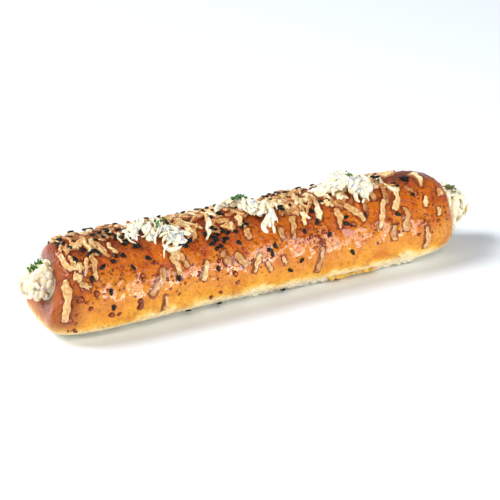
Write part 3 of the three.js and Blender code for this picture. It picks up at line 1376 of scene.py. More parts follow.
@dataclass
class BakedCheese:
    """Every shred of cheese melted onto the crust."""

    shape: LoafShape
    seed: int = 41
    thickness: float = 1.5
    sink: float = 0.15
    tip_sink: float = 0.2
    foot_sink: float = 0.4
    across: int = 14
    step: float = 0.42
    small_across: int = 9
    small_step: float = 0.5
    least_steps: int = 9
    gap: float = 2.7
    end: float = 108.0
    fork: float = 0.5
    short: float = 4.0
    longer: float = 13.0
    widths: tuple[float, float] = (2.2, 4.6)
    pale: str = "baked_cheese_shred_10"
    loose: tuple[tuple[float, float, float, float, float], ...] = (
        (-2, 7, -64, 6, 2.6),
        (7, 10, -72, 5, 2.4),
        (41, 78, -60, 13, 4.0),
        (47, 64, 80, 9, 3.4),
        (96, 42, 70, 6, 3.0),
        (103, 27, 80, 5, 3.0),
        (107, 51, 60, 6, 3.4),
        (86, 98, 20, 9, 6.0),
        (-26, 69, 40, 7, 4.2),
        (-19, 65, 20, 6, 4.4),
        (-10, 48, 80, 6, 4.0),
        (-51, 44, -60, 9, 5.5),
        (-47, 34, -70, 8, 3.0),
        (-60, -8, 80, 8, 2.2),
        (60, 62, 76, 15, 3.6),
        (67, 72, 84, 14, 4.4),
        (74, 62, 78, 12, 3.4),
    )
    clusters: tuple[Cluster, ...] = (
        Cluster(-96, 92, 16, 20, 34),
        Cluster(-92, 68, 12, 8, 8),
        Cluster(-72, 94, 14, 16, 28),
        Cluster(-54, 100, 12, 14, 20),
        Cluster(-32, 92, 16, 20, 38),
        Cluster(-24, 62, 16, 9, 16),
        Cluster(8, 96, 20, 20, 56),
        Cluster(24, 78, 16, 14, 34),
        Cluster(34, 62, 12, 8, 10),
        Cluster(46, 76, 12, 12, 18),
        Cluster(68, 90, 14, 16, 36),
        Cluster(-102, 40, 7, 22, 8),
        Cluster(-14, 112, 96, 12, 100),
        Cluster(-50, 138, 70, 22, 36),
        Cluster(50, 138, 70, 22, 36),
    )

    def spots(self) -> list[Spot]:
        """Find where the long shreds lie.

        Returns:
            The CAD ones first, then the extras.
        """
        found = [Spot.of_node(self.shape, name) for name in nodes_named("baked_cheese_shred")]
        for along, around, turn, length, width in self.loose:
            arc = math.radians(around) * self.shape.mean_radius
            found.append(Spot(along, arc, math.radians(turn), length, width))
        return found

    def crumbs(self, found: Sequence[Spot]) -> list[Spot]:
        """Scatter the short shreds between the long ones.

        Args:
            found: Where the long shreds lie.

        Returns:
            Where the short ones lie, some of them forked.
        """
        rng = np.random.default_rng(self.seed)
        pale = Spot.of_node(self.shape, self.pale)
        kept_clear = np.linspace(-0.45, 0.45, 6) * pale.length
        guard = [replace(pale, along=a, arc=b) for a, b in zip(*pale.at(kept_clear, 0.0))]
        taken = [*found, *guard]
        kept = len(taken)
        for cluster in self.clusters:
            for along, arc in cluster.draw(rng, self.shape):
                length = self.short + self.longer * rng.beta(1.2, 2.0)
                width = min(rng.uniform(*self.widths), length)
                spot = Spot(along, arc, rng.normal(math.pi / 2, 0.9), length, width)
                near = min(math.hypot(along - o.along, arc - o.arc) for o in taken)
                if near < self.gap or abs(along) > self.end:
                    continue
                taken.append(spot)
                if rng.random() < self.fork:
                    at = spot.at(rng.uniform(-0.4, 0.4) * length, 0.0)
                    turn = spot.heading + rng.choice([-1, 1]) * rng.uniform(0.6, 1.3)
                    taken.append(Spot(*at, turn, length * rng.uniform(0.6, 0.9), width * 0.75))
        return taken[kept:]

    def cover(self, spots: Sequence[Spot], along: Array, arc: Array) -> Array:
        """Find how high the cheese stands at some places.

        Args:
            spots: Where the shreds lie.
            along: The places' distances along X.
            arc: Their distances round the crust.

        Returns:
            Heights in millimetres, 0 on bare crust.
        """
        high = np.zeros(len(along))
        for spot in spots:
            high = np.maximum(high, spot.dome(along, arc))
        return high * self.thickness

    def ragged(self, run: Array, phase: Array) -> Array:
        """Find how far one side of a shred reaches along its length.

        Args:
            run: Places along the shred, from -1 to 1.
            phase: Three starts, one for each of its waves.

        Returns:
            About 1 for each place.
        """
        reach = np.ones(len(run))
        for size, pace, start in zip((0.22, 0.14, 0.08), (3.6, 8.5, 15), phase):
            reach = reach + size * np.sin(run * pace + start)
        return reach

    def foot(self, spot: Spot, bow: Array, wide: Array, ahead: Array) -> Array:
        """Find the underside of a shred, sunk in the crust.

        Args:
            spot: Where the shred lies.
            bow: How far its middle drifts to the side, at each step.
            wide: How wide it is at each step, as a share of its width.
            ahead: The steps' distances along it.

        Returns:
            Three points for each step.
        """
        across = np.array([0.5, 0.0, -0.5]) * wide[:, None] * spot.width / 2
        side = across + bow[:, None]
        places = spot.at(np.broadcast_to(ahead[:, None], side.shape), side)
        return self.shape.surface(*places, -self.foot_sink)

    def melt(
        self,
        skin: Skin,
        spot: Spot,
        rng: np.random.Generator,
        small: bool = False,
        ripe: float = 0.0,
        pale: bool = False,
    ) -> None:
        """Add one shred to the skin.

        Args:
            skin: What the shred is added to.
            spot: Where it lies.
            rng: The source of chance.
            small: Whether it is one of the many small ones, with fewer faces.
            ripe: How yellow and raw it is, from 0 to 1.
            pale: Whether it lies on top, thick and hardly browned.
        """
        across = self.small_across if small else self.across
        step = self.small_step if small else self.step
        steps = max(self.least_steps, int(spot.length / step))
        turn = np.linspace(0, np.pi, steps + 1)[1:-1]
        phase = rng.uniform(0, 2 * np.pi, 8)
        run = -np.cos(turn)
        wave = np.sin(run * 3.1 + phase[0]) + 0.5 * np.sin(run * 6.7 + phase[1])
        bow = rng.normal(0, 0.12 if small else 0.06) * spot.length * (1 - run**2)
        drift = 0.13 * spot.width * wave * (1 - run**2) + bow
        left, right = (self.ragged(run, phase[i : i + 3]) for i in (2, 5))
        swell = np.sin(turn) ** 0.6 * (1 + rng.uniform(-0.3, 0.3) * run)
        b = np.linspace(-1, 1, across + 1)
        reach = np.where(b < 0, left[:, None], right[:, None]) * swell[:, None] * spot.width / 2
        side = b * reach + drift[:, None]
        ahead = np.broadcast_to((run * spot.length / 2)[:, None], side.shape)
        along, arc = spot.at(ahead, side)
        sag = 1 - rng.uniform(0, 0.45) * (1 - b**2) ** 2
        dome = (1 - np.abs(b) ** 2.6) ** 0.55 * sag * np.sin(turn)[:, None] ** 0.5
        place = self.shape.base(along, arc)
        lumps = 1 + 0.5 * Noise(2.6, self.seed)(place) + 0.15 * Noise(1.2, self.seed)(place)
        high = float(smoothstep(np.array(spot.arc), 20, 34))
        tall = self.thickness * rng.uniform(0.7, 1.2) * (1 + 0.4 * high) * (1.5 if pale else 1.0)
        over = self.shape.surface(along, arc, tall * dome * lumps - self.sink)
        under = self.foot(spot, drift, swell, ahead[:, 0])
        tips = np.array([[-spot.length / 2], [spot.length / 2]])
        ends = [self.shape.surface(*spot.at(tip, np.zeros(1)), -self.tip_sink) for tip in tips]
        rings = [ends[0], *np.concatenate([over, under], axis=1), ends[1]]
        edge = np.maximum(np.abs(b) ** 3, (np.abs(run) ** 5)[:, None])
        edge = np.concatenate([edge, np.ones((len(run), 3))], axis=1)
        browned = 0.16 * high * float(smoothstep(np.array(spot.along), -30, -80))
        tone = float(np.clip(rng.normal(0.54 + 0.02 * high - browned, 0.14 + 0.16 * high), 0, 1))
        burn = float(np.clip(rng.normal(0.95 - 0.65 * high, 0.2), 0, 1)) * (1 - ripe)
        if pale:
            tone, burn = 1.2, 0.5
        rims = [np.ones(1), *edge, np.ones(1)]
        skin.rings(rings, edge=rims, tone=tone, ripe=ripe, burn=burn)

    def build(self, material: bpy.types.Material) -> list[Spot]:
        """Make the shreds and the run-out at the foot.

        Args:
            material: The baked cheese finish.

        Returns:
            Where the shreds lie, for the crust to scorch round them.
        """
        rng = np.random.default_rng(self.seed + 1)
        spots = self.spots()
        crumbs = self.crumbs(spots)
        names = nodes_named("baked_cheese_shred")
        for name, group, nodes in (
            ("baked_cheese_shreds", spots, names),
            ("baked_cheese_crumbs", crumbs, []),
        ):
            skin = Skin()
            for i, spot in enumerate(group):
                pale = i < len(nodes) and nodes[i] == self.pale
                self.melt(skin, spot, rng, small=group is crumbs, pale=pale)
            dressed(name, skin.mesh(name), material, nodes)
        self.run_out(material, rng)
        return [*spots, *crumbs]

    def run_out(self, material: bpy.types.Material, rng: np.random.Generator) -> None:
        """Make the ragged yellow cheese at the foot of the front.

        Args:
            material: The baked cheese finish.
            rng: The source of chance.
        """
        whole = Spot.of_node(self.shape, "baked_cheese_run_out")
        skin = Skin()
        for place in np.linspace(-0.5, 0.5, 19):
            along = whole.along + place * whole.length
            length = rng.uniform(2.2, 5.2)
            arc = whole.arc - rng.uniform(-0.6, 2.4)
            spot = Spot(along, arc, rng.normal(math.pi / 2, 0.6), length, rng.uniform(1.8, 3.6))
            self.melt(skin, spot, rng, ripe=rng.uniform(0.6, 1.0))
        mesh = skin.mesh("baked_cheese_foot")
        dressed("baked_cheese_foot", mesh, material, ["baked_cheese_run_out"])


# ---- Seeds, blisters and chives ----


@dataclass(frozen=True)
class Grain:
    """A small rounded body: a seed, a leaf fleck or a blister."""

    length: float
    width: float
    thickness: float
    point: float = 0.0
    curl: float = 0.0
    stations: int = 7
    sectors: int = 8

    def mesh(self, name: str) -> bpy.types.Mesh:
        """Make the grain about the origin, its long axis on X.

        Args:
            name: The mesh's name.

        Returns:
            The mesh.
        """
        turn = np.linspace(0, np.pi, self.stations + 1)[1:-1]
        around = np.arange(self.sectors) * 2 * np.pi / self.sectors
        rings = []
        for t in turn:
            x = -self.length / 2 * math.cos(t)
            swell = math.sin(t) ** 0.75 * (1 - self.point * math.cos(t))
            y = np.cos(around) * self.width / 2 * swell
            z = np.sin(around) * self.thickness / 2 * swell
            z = z + self.curl * (x / self.length) ** 2 * 4
            rings.append(np.stack([np.full(len(around), x), y, z], axis=1))
        tip = [np.array([[e * self.length / 2, 0.0, self.curl]]) for e in (-1, 1)]
        skin = Skin()
        skin.rings([tip[0], *rings, tip[1]])
        return turned_out(skin.mesh(name))


@dataclass
class Seeds:
    """Black sesame: the CAD seeds in their places and many more in clusters."""

    shape: LoafShape
    seed: int = 7
    sink: float = 0.1
    gap: float = 1.7
    end: float = 110.0
    grains: tuple[Grain, ...] = (
        Grain(3.4, 2.1, 1.1, 0.3),
        Grain(3.6, 1.95, 1.05, 0.25),
        Grain(3.1, 2.0, 1.1, 0.35),
    )
    clusters: tuple[Cluster, ...] = (
        Cluster(-106, 90, 4, 12, 14),
        Cluster(-104, 76, 3, 5, 4),
        Cluster(-88, 86, 5, 8, 7),
        Cluster(-77, 84, 8, 10, 14),
        Cluster(-69, 78, 4, 8, 6),
        Cluster(-104, 59, 1, 1, 1),
        Cluster(-97, 69, 2, 2, 2),
        Cluster(-91, 62, 4, 3, 4),
        Cluster(-84, 51, 4, 4, 3),
        Cluster(-74, 68, 2, 3, 2),
        Cluster(-67, 60, 3, 2, 3),
        Cluster(-65, 44, 1, 1, 1),
        Cluster(-97, 34, 1, 1, 1),
        Cluster(-42, 51, 5, 3, 8),
        Cluster(-35, 84, 4, 8, 9),
        Cluster(-20, 98, 5, 14, 9),
        Cluster(-17, 88, 3, 5, 4),
        Cluster(-26, 60, 6, 8, 12),
        Cluster(-27, 45, 5, 4, 12),
        Cluster(-20, 52, 5, 5, 8),
        Cluster(-9, 58, 3, 3, 3),
        Cluster(1, 22, 2, 4, 2),
        Cluster(5, 63, 2, 3, 2),
        Cluster(17, 104, 5, 12, 10),
        Cluster(18, 71, 5, 5, 4),
        Cluster(38, 69, 3, 4, 3),
        Cluster(29, 58, 1, 1, 1),
        Cluster(30, 44, 1, 2, 1),
        Cluster(34, 28, 1, 1, 1),
        Cluster(58, 41, 1, 1, 2),
        Cluster(74, 86, 4, 9, 10),
        Cluster(83, 71, 3, 4, 3),
        Cluster(94, 80, 5, 7, 6),
        Cluster(90, 53, 1, 1, 1),
        Cluster(77, 34, 1, 1, 1),
        Cluster(-52, 17, 1, 1, 1),
        Cluster(-10, 118, 100, 16, 60),
        Cluster(0, 145, 100, 14, 22),
        Cluster(-45, -40, 2, 1, 1),
        Cluster(-26, -40, 2, 1, 1),
        Cluster(12, -40, 2, 1, 1),
        Cluster(39, -40, 2, 1, 1),
        Cluster(10, -5, 1, 1, 1),
        Cluster(47, 43, 1, 1, 1),
        Cluster(49, 34, 1, 1, 1),
        Cluster(-50, 92, 8, 6, 7),
        Cluster(-4, 94, 8, 6, 6),
    )

    def build(self, material: bpy.types.Material, cheese: BakedCheese, spots: list[Spot]) -> None:
        """Make the seeds.

        Args:
            material: The seeds' finish.
            cheese: The cheese that some of them lie on.
            spots: Where its shreds lie.
        """
        names = nodes_named("black_sesame")
        given = [Spot.of_node(self.shape, name) for name in names]
        rng = np.random.default_rng(self.seed)
        places = [[s.along, s.arc] for s in given]
        spins = [s.heading for s in given]
        for cluster in self.clusters:
            for place in cluster.draw(rng, self.shape):
                near = min(math.hypot(*(place - np.array(other))) for other in places)
                if near > self.gap and abs(place[0]) < self.end:
                    places.append(list(place))
                    spins.append(rng.uniform(0, 2 * np.pi))
        flat = np.array(places)
        lift = cheese.cover(spots, *flat.T) + self.grains[0].thickness / 2 - self.sink
        points = self.shape.surface(flat[:, 0], flat[:, 1], lift)
        normals = self.shape.normal(flat[:, 0], flat[:, 1])
        source = facing_mesh("seed_places", points, normals, np.array(spins), np.ones(len(flat)))
        grains = [unlinked(f"seed_{i}", g.mesh(f"seed_{i}")) for i, g in enumerate(self.grains)]
        tree = GrainScatter("sesame_scatter", grains)
        look = dict(Material=material, Size_Spread=0.08, Wobble=0.22, Seed=self.seed)
        mesh = tree.grow("black_sesame_seeds", source, **look)
        dressed("black_sesame_seeds", mesh, material, names)


@dataclass
class Blisters:
    """Small burnt blisters all over the crust's upper and front sides."""

    shape: LoafShape
    seed: int = 23
    sectors: int = 12
    sink: float = 0.25
    end: float = 112.0
    least: float = 0.45
    spread: float = 1.1
    kinds: tuple[tuple[float, float, float], ...] = (
        (1.8, 0.55, 0.4),
        (1.5, 0.4, 1.9),
        (1.7, 0.45, 3.3),
    )
    clusters: tuple[Cluster, ...] = (
        Cluster(-95, 50, 14, 26, 60),
        Cluster(-75, 22, 24, 20, 36),
        Cluster(-40, 20, 24, 22, 40),
        Cluster(-5, 26, 24, 22, 40),
        Cluster(28, 30, 8, 17, 60),
        Cluster(26, 48, 8, 8, 24),
        Cluster(60, 30, 24, 24, 34),
        Cluster(98, 30, 10, 34, 44),
        Cluster(0, 74, 100, 20, 160),
        Cluster(0, 125, 95, 26, 80),
        Cluster(-106, 10, 6, 34, 24),
    )
    large: tuple[tuple[float, float, float], ...] = (
        (-105, 14, 2.2),
        (-99, 3, 1.8),
        (-100, 47, 1.9),
        (-77, 71, 1.6),
        (-73, -5, 2.4),
        (-73, 1, 1.9),
        (-88, -8, 2.2),
        (-84, -9, 1.6),
        (-21, 7, 2.0),
        (-20, -4, 2.0),
        (-34, -17, 1.5),
        (-29, -12, 1.2),
        (50, 34, 1.9),
        (-112, 2, 1.8),
        (-109, -8, 2.0),
        (-96, 18, 1.6),
        (-70, 27, 1.6),
        (-62, 38, 1.8),
    )

    def dome(self, name: str, wide: float, tall: float, phase: float) -> bpy.types.Object:
        """Make one blister to copy: a flat uneven dome that carries its rim's darkness.

        Args:
            name: Its name.
            wide: Its width in millimetres.
            tall: Its height in millimetres.
            phase: What makes its outline its own, in radians.

        Returns:
            The blister, out of the scene.
        """
        around = np.arange(self.sectors) * 2 * np.pi / self.sectors
        uneven = 1 + 0.16 * np.sin(2 * around + phase) + 0.1 * np.sin(3 * around + 2 * phase)
        rings, edges = [], []
        for share, edge in ((1.0, 1.0), (0.92, 1.0), (0.7, 0.6), (0.38, 0.1)):
            radius = share * wide / 2 * uneven
            height = tall * math.sqrt(1 - share**2) if share < 1 else -self.sink
            x, y = np.cos(around) * radius, np.sin(around) * radius
            rings.append(np.stack([x, y, np.full(self.sectors, height)], axis=1))
            edges.append(np.full(self.sectors, edge))
        pole = np.array([[0.0, 0.0, tall]])
        floor = np.array([[0.0, 0.0, -self.sink]])
        skin = Skin()
        skin.rings([floor, *rings, pole], edge=[np.ones(1), *edges, np.zeros(1)])
        return unlinked(name, turned_out(skin.mesh(name)))

    def build(self, material: bpy.types.Material) -> None:
        """Make the blisters.

        Args:
            material: Their finish.
        """
        rng = np.random.default_rng(self.seed)
        flat = np.concatenate([c.draw(rng, self.shape) for c in self.clusters])
        flat = flat[np.abs(flat[:, 0]) < self.end]
        sizes = self.least + rng.beta(1.2, 3.0, len(flat)) * self.spread
        marks = np.array(self.large)
        arcs = np.radians(marks[:, 1]) * self.shape.mean_radius
        flat = np.concatenate([flat, np.stack([marks[:, 0], arcs], axis=1)])
        sizes = np.concatenate([sizes, marks[:, 2]])
        points = self.shape.surface(flat[:, 0], flat[:, 1], np.zeros(len(flat)))
        normals = self.shape.normal(flat[:, 0], flat[:, 1])
        spins = rng.uniform(0, 2 * np.pi, len(flat))
        source = facing_mesh("blister_places", points, normals, spins, sizes)
        domes = [self.dome(f"blister_{i}", *kind) for i, kind in enumerate(self.kinds)]
        tree = GrainScatter("blister_scatter", domes)
        look = dict(Material=material, Size_Spread=0.2, Wobble=0.1, Seed=self.seed)
        mesh = tree.grow("crust_blisters", source, **look)
        dressed("crust_blisters", mesh, material)


@dataclass
class Chives:
    """Chopped chive flecks about some of the CAD flecks."""

    name: str
    nodes: tuple[str, ...]
    seed: int
    extra: int = 8
    scatter: tuple[float, float] = (1.9, 1.1)
    lift: float = 0.5
    bend: float = 8.0
    grains: tuple[Grain, ...] = (
        Grain(3.4, 1.3, 0.7, 0.2, 0.3),
        Grain(2.4, 1.2, 0.7, 0.1, 0.2),
        Grain(1.6, 1.1, 0.6, 0.0, 0.1),
    )

    def build(self, material: bpy.types.Material) -> None:
        """Make the flecks.

        Args:
            material: Their finish.
        """
        rng = np.random.default_rng(self.seed)
        points, normals = [], []
        for name in self.nodes:
            cloud = node_points(name)
            centre = cloud.mean(0)
            flat, side, main = np.linalg.eigh(np.cov((cloud - centre).T))[1].T
            out = flat * (1 if flat[2] > 0 else -1)
            for i in range(1 + self.extra):
                off = rng.normal(0, 1, 2) * (0 if i == 0 else 1) * self.scatter
                height = self.lift * rng.uniform(0.2, 1.4) - off @ off / (2 * self.bend)
                points.append(centre + main * off[0] + side * off[1] + out * height)
                normals.append(out)
        spins = rng.uniform(0, 2 * np.pi, len(points))
        sizes = np.ones(len(points))
        places = self.name + "_places"
        source = facing_mesh(places, np.array(points), np.array(normals), spins, sizes)
        shapes = [grain.mesh(f"chive_{i}") for i, grain in enumerate(self.grains)]
        grains = [unlinked(f"{self.name}_{i}", shape) for i, shape in enumerate(shapes)]
        tree = GrainScatter(self.name + "_scatter", grains)
        look = dict(Material=material, Size_Spread=0.3, Wobble=0.6, Seed=self.seed)
        mesh = tree.grow(self.name, source, **look)
        dressed(self.name, mesh, material, self.nodes)


DULL_GROUP = "chive_flecks_right"
CHIVE_GROUPS = (
    Chives("chive_flecks", ("chive_fleck_03",), 31, 8, (4.4, 1.6), lift=1.0),
    Chives("chive_flecks_high", ("chive_fleck_05",), 35),
    Chives("chive_flecks_middle", ("chive_fleck_04",), 34, 22, (3.2, 0.9), lift=1.5),
    Chives("chive_flecks_left", ("chive_fleck_01",), 32, 30, (1.8, 1.3), lift=1.5),
    Chives(DULL_GROUP, ("chive_fleck_02",), 33, 22, (2.4, 1.7), lift=0.2),
)


# ---- Fresh filling and garnish ----


@dataclass
class Lines:
    """Lines of points for the strand tree, with a girth and a tilt on each point."""

    points: list[Array] = field(default_factory=list)
    girths: list[Array] = field(default_factory=list)
    tilts: list[Array] = field(default_factory=list)

    def add(self, points: Array, girth: float, tilt: float, blunt: float = 0.45) -> None:
        """Add one line, its girth fading towards both ends.

        Args:
            points: The line's points in millimetres.
            girth: Its girth at the middle, as a share of the tree's.
            tilt: Its turn about itself, in radians.
            blunt: The share of the girth left at the ends.
        """
        t = np.linspace(-1, 1, len(points))
        self.points.append(points)
        self.girths.append(girth * (blunt + (1 - blunt) * np.sqrt(1 - t**2)))
        self.tilts.append(np.full(len(points), tilt) + t * 0.8)

    def mesh(self, name: str) -> bpy.types.Mesh:
        """Make the mesh of edges.

        Args:
            name: The mesh's name.

        Returns:
            The mesh, with its girths and tilts.
        """
        edges, start = [], 0
        for line in self.points:
            edges += [(start + i, start + i + 1) for i in range(len(line) - 1)]
            start += len(line)
        mesh = bpy.data.meshes.new(name)
        mesh.from_pydata((np.concatenate(self.points) * MM).tolist(), edges, [])
        for key, rows in (("girth", self.girths), ("tilt", self.tilts)):
            carry(mesh, key, np.concatenate(rows))
        return mesh


def blobs_mesh(
    name: str, blobs: Sequence[tuple[Array, Array]], voxel: float = 0.4
) -> bpy.types.Mesh:
    """Melt ellipsoids into one lumpy mass.

    Args:
        name: The mesh's name.
        blobs: Each one's centre, and its three half-axes as rows, in millimetres.
        voxel: The mass's fineness in millimetres.

    Returns:
        The mesh.
    """
    sectors = 12
    turn = np.linspace(0, np.pi, 9)[1:-1]
    around = np.arange(sectors) * 2 * np.pi / sectors
    skin = Skin()
    for centre, axes in blobs:
        rings = [np.array([[0.0, 0.0, -1.0]])]
        for t in turn:
            flat = [np.cos(around) * np.sin(t), np.sin(around) * np.sin(t)]
            rings.append(np.stack([*flat, np.full(sectors, -math.cos(t))], axis=1))
        rings.append(np.array([[0.0, 0.0, 1.0]]))
        skin.rings([ring @ axes + centre for ring in rings])
    holder = placed(name + "_source", skin.mesh(name + "_source"))
    remesh = holder.modifiers.new("melt", "REMESH")
    remesh.mode = "VOXEL"
    remesh.voxel_size = voxel * MM
    soften = holder.modifiers.new("soften", "SMOOTH")
    soften.factor = 0.5
    soften.iterations = 3
    mesh = settled(holder, name)
    mesh.shade_smooth()
    return mesh


@dataclass
class Garnish:
    """One heap of fresh grated topping: soft curds under a tangle of flakes."""

    shape: LoafShape
    node: str
    seed: int
    lobes: tuple[Cluster, ...]
    fan: float
    girth: float = 1.2
    flatness: float = 0.35
    curd: float = 1.7
    blunt: float = 0.1
    reach: tuple[int, int] = (6, 12)
    pace: float = 1.05
    company: int = 4
    lonely: float = 5.0

    def __post_init__(self) -> None:
        """Measure the heap from its CAD node."""
        self.spot = Spot.of_node(self.shape, self.node)
        cloud = node_points(self.node)
        flat = self.shape.locate(cloud)
        base = self.shape.base(flat[:, 0], flat[:, 1])
        self.height = float(np.linalg.norm(cloud - base, axis=1).max())

    def dome(self, along: Array, arc: Array) -> Array:
        """Return the heap's height over places on the crust."""
        return self.height * self.spot.dome(along, arc)

    def flake(self, rng: np.random.Generator, start: Array) -> Array:
        """Draw one flake's line over the heap.

        Args:
            rng: The source of chance.
            start: The place that the flake lies about.

        Returns:
            The line's points in millimetres.
        """
        count = int(rng.integers(*self.reach))
        heading = math.radians(self.fan) + rng.normal(0, 1.0) + math.pi * rng.integers(0, 2)
        bend = rng.normal(0, 0.13)
        path = [np.array(start)]
        for _ in range(count - 1):
            heading += bend + rng.normal(0, 0.12)
            ahead = np.array([math.cos(heading), math.sin(heading)])
            path.append(path[-1] + self.pace * ahead)
        along, arc = (np.array(path) - 0.35 * (path[-1] - path[0])).T
        t = np.linspace(-1, 1, count)
        curl = np.clip(rng.normal(0.2, 0.9), -0.2, 1.8) * np.clip(t, 0, 1) ** 2
        lift = self.dome(along, arc) * rng.uniform(0.5, 1.0) + 0.7 + curl
        return self.shape.surface(along, arc, lift)

    def curds(self, rng: np.random.Generator, places: Array) -> bpy.types.Mesh:
        """Make the soft mass under the flakes.

        Args:
            rng: The source of chance.
            places: Where its curds lie, one row each.

        Returns:
            The mass.
        """
        blobs = []
        for along, arc in places:
            lift = self.dome(np.array([along]), np.array([arc])) * rng.uniform(0.2, 0.75)
            centre = self.shape.surface(np.array([along]), np.array([arc]), lift + 0.4)[0]
            size = self.curd * rng.uniform(0.75, 1.3, 3)
            spin = Matrix.Rotation(rng.uniform(0, 3), 3, Vector(rng.normal(0, 1, 3)))
            blobs.append((centre, np.diag(size) @ np.array(spin)))
        return blobs_mesh(self.node + "_curds", blobs)

    def build(self, material: bpy.types.Material, weave: StrandWeave) -> None:
        """Make the heap's curds and its flakes.

        Args:
            material: The fresh finish.
            weave: The strands' tree.
        """
        rng = np.random.default_rng(self.seed)
        places = np.concatenate([lobe.draw(rng, self.shape) for lobe in self.lobes])
        apart = np.sort(np.linalg.norm(places[:, None] - places, axis=2), axis=1)
        places = places[apart[:, self.company] < self.lonely]
        curds = self.curds(rng, places)
        dressed(self.node + "_curds", curds, material, [self.node])
        lines = Lines()
        for start in places:
            line = self.flake(rng, start)
            lines.add(line, rng.uniform(0.6, 1.2), rng.uniform(0, np.pi), blunt=self.blunt)
        name = self.node + "_flakes"
        look = dict(Material=material, Girth=self.girth * MM, Flatness=self.flatness)
        mesh = weave.grow(name, lines.mesh(name + "_lines"), **look)
        dressed(name, mesh, material)


@dataclass(frozen=True)
class FillingEnd:
    """One end of the filling: how far it stands out, how wide it is, and its slivers."""

    name: str
    side: int
    proud: float
    radius: float
    drop: float
    strands: int
    seed: int
    slivers: tuple[tuple[tuple[float, float, float], ...], ...]
    power: float = 3.2
    curds: int = 900
    gap: float = 3.8
    curd: tuple[float, float, float] = (2.1, 1.9, 2.8)
    heart: float = 0.66
    girth: float = 1.3
    flatness: float = 0.65

    def outward(self, shape: LoafShape, ways: Array, reach: Array) -> Array:
        """Find points of the end's blunt dome.

        Args:
            shape: The loaf.
            ways: Directions, the first number out of the mouth.
            reach: How far out each point lies, 1 on the dome itself.

        Returns:
            Points in millimetres.
        """
        blunt = (np.abs(ways) ** self.power).sum(1, keepdims=True) ** (-1 / self.power)
        size = np.array([self.proud, self.radius, self.radius])
        return self.local(shape, ways * blunt * size * reach[:, None])

    def local(self, shape: LoafShape, offsets: Array) -> Array:
        """Turn distances from the mouth's middle into points.

        Args:
            shape: The loaf.
            offsets: How far out, across and up, one row each.

        Returns:
            Points in millimetres, none under the floor or deep in the tunnel.
        """
        x = self.side * (shape.length / 2 + 0.3 + np.maximum(offsets[:, 0], -3.0))
        z = np.maximum(shape.tunnel_height - self.drop + offsets[:, 2], 1.5)
        return shape.leaned(x, offsets[:, 1], z)

    def mass(self, shape: LoafShape, rng: np.random.Generator) -> bpy.types.Mesh:
        """Make the upright curds that fill the mouth, spread evenly over the dome.

        Args:
            shape: The loaf.
            rng: The source of chance.

        Returns:
            The mass.
        """
        blobs, centres = [], np.empty((0, 3))
        for _ in range(self.curds):
            way = rng.normal(0, 1, 3)
            way[0] = abs(way[0])
            centre = self.outward(shape, way[None, :], np.array([rng.uniform(0.55, 0.8)]))
            if len(centres) and np.linalg.norm(centres - centre, axis=1).min() < self.gap:
                continue
            centres = np.concatenate([centres, centre])
            size = self.curd * rng.uniform(0.8, 1.25, 3)
            spin = Matrix.Rotation(rng.normal(0, 0.35), 3, Vector(rng.normal(0, 1, 3)))
            blobs.append((centre[0], np.diag(size) @ np.array(spin)))
        heart = self.local(shape, np.array([[0.0, 0.0, 0.0]]))[0]
        core = np.diag([self.proud, self.radius, self.radius]) * self.heart
        return blobs_mesh(f"filling_{self.name}_curds", [*blobs, (heart, core)])

    def strand(self, shape: LoafShape, rng: np.random.Generator) -> Array:
        """Draw one strand's line, mostly upright, over the dome.

        Args:
            shape: The loaf.
            rng: The source of chance.

        Returns:
            The line's points in millimetres.
        """
        count = int(rng.integers(5, 9))
        way = rng.normal(0, 1, 3)
        way[0] = abs(way[0])
        way = way / np.linalg.norm(way)
        step = np.array([0.0, rng.normal(0, 0.4), 1.0])
        step = step - way * (step @ way)
        step = step / np.linalg.norm(step)
        bow = np.cross(way, step) * 0.1
        turns = 0.12 * (np.arange(count) - count / 2)
        ways = np.cos(turns)[:, None] * way + np.sin(turns)[:, None] * step
        ways = ways + np.sin(np.arange(count) * 0.7 + rng.uniform(0, 6))[:, None] * bow
        ways[:, 0] = np.maximum(ways[:, 0], -0.1)
        return self.outward(shape, ways, np.full(count, rng.uniform(0.8, 0.93)))

    def build(self, shape: LoafShape, material: bpy.types.Material, weave: StrandWeave) -> None:
        """Make the end's curds, strands and slivers.

        Args:
            shape: The loaf.
            material: The fresh finish.
            weave: The strands' tree.
        """
        rng = np.random.default_rng(self.seed)
        name = f"filling_{self.name}_curds"
        dressed(name, self.mass(shape, rng), material)
        lines = Lines()
        for _ in range(self.strands):
            line = self.strand(shape, rng)
            lines.add(line, rng.uniform(0.7, 1.2), rng.uniform(0, np.pi), blunt=0.5)
        for sliver in self.slivers:
            lines.add(self.local(shape, np.array(sliver)), 0.4, 1.2, blunt=0.15)
        name = f"filling_{self.name}_strands"
        look = dict(Material=material, Girth=self.girth * MM, Flatness=self.flatness)
        mesh = weave.grow(name, lines.mesh(name + "_lines"), **look)
        dressed(name, mesh, material)


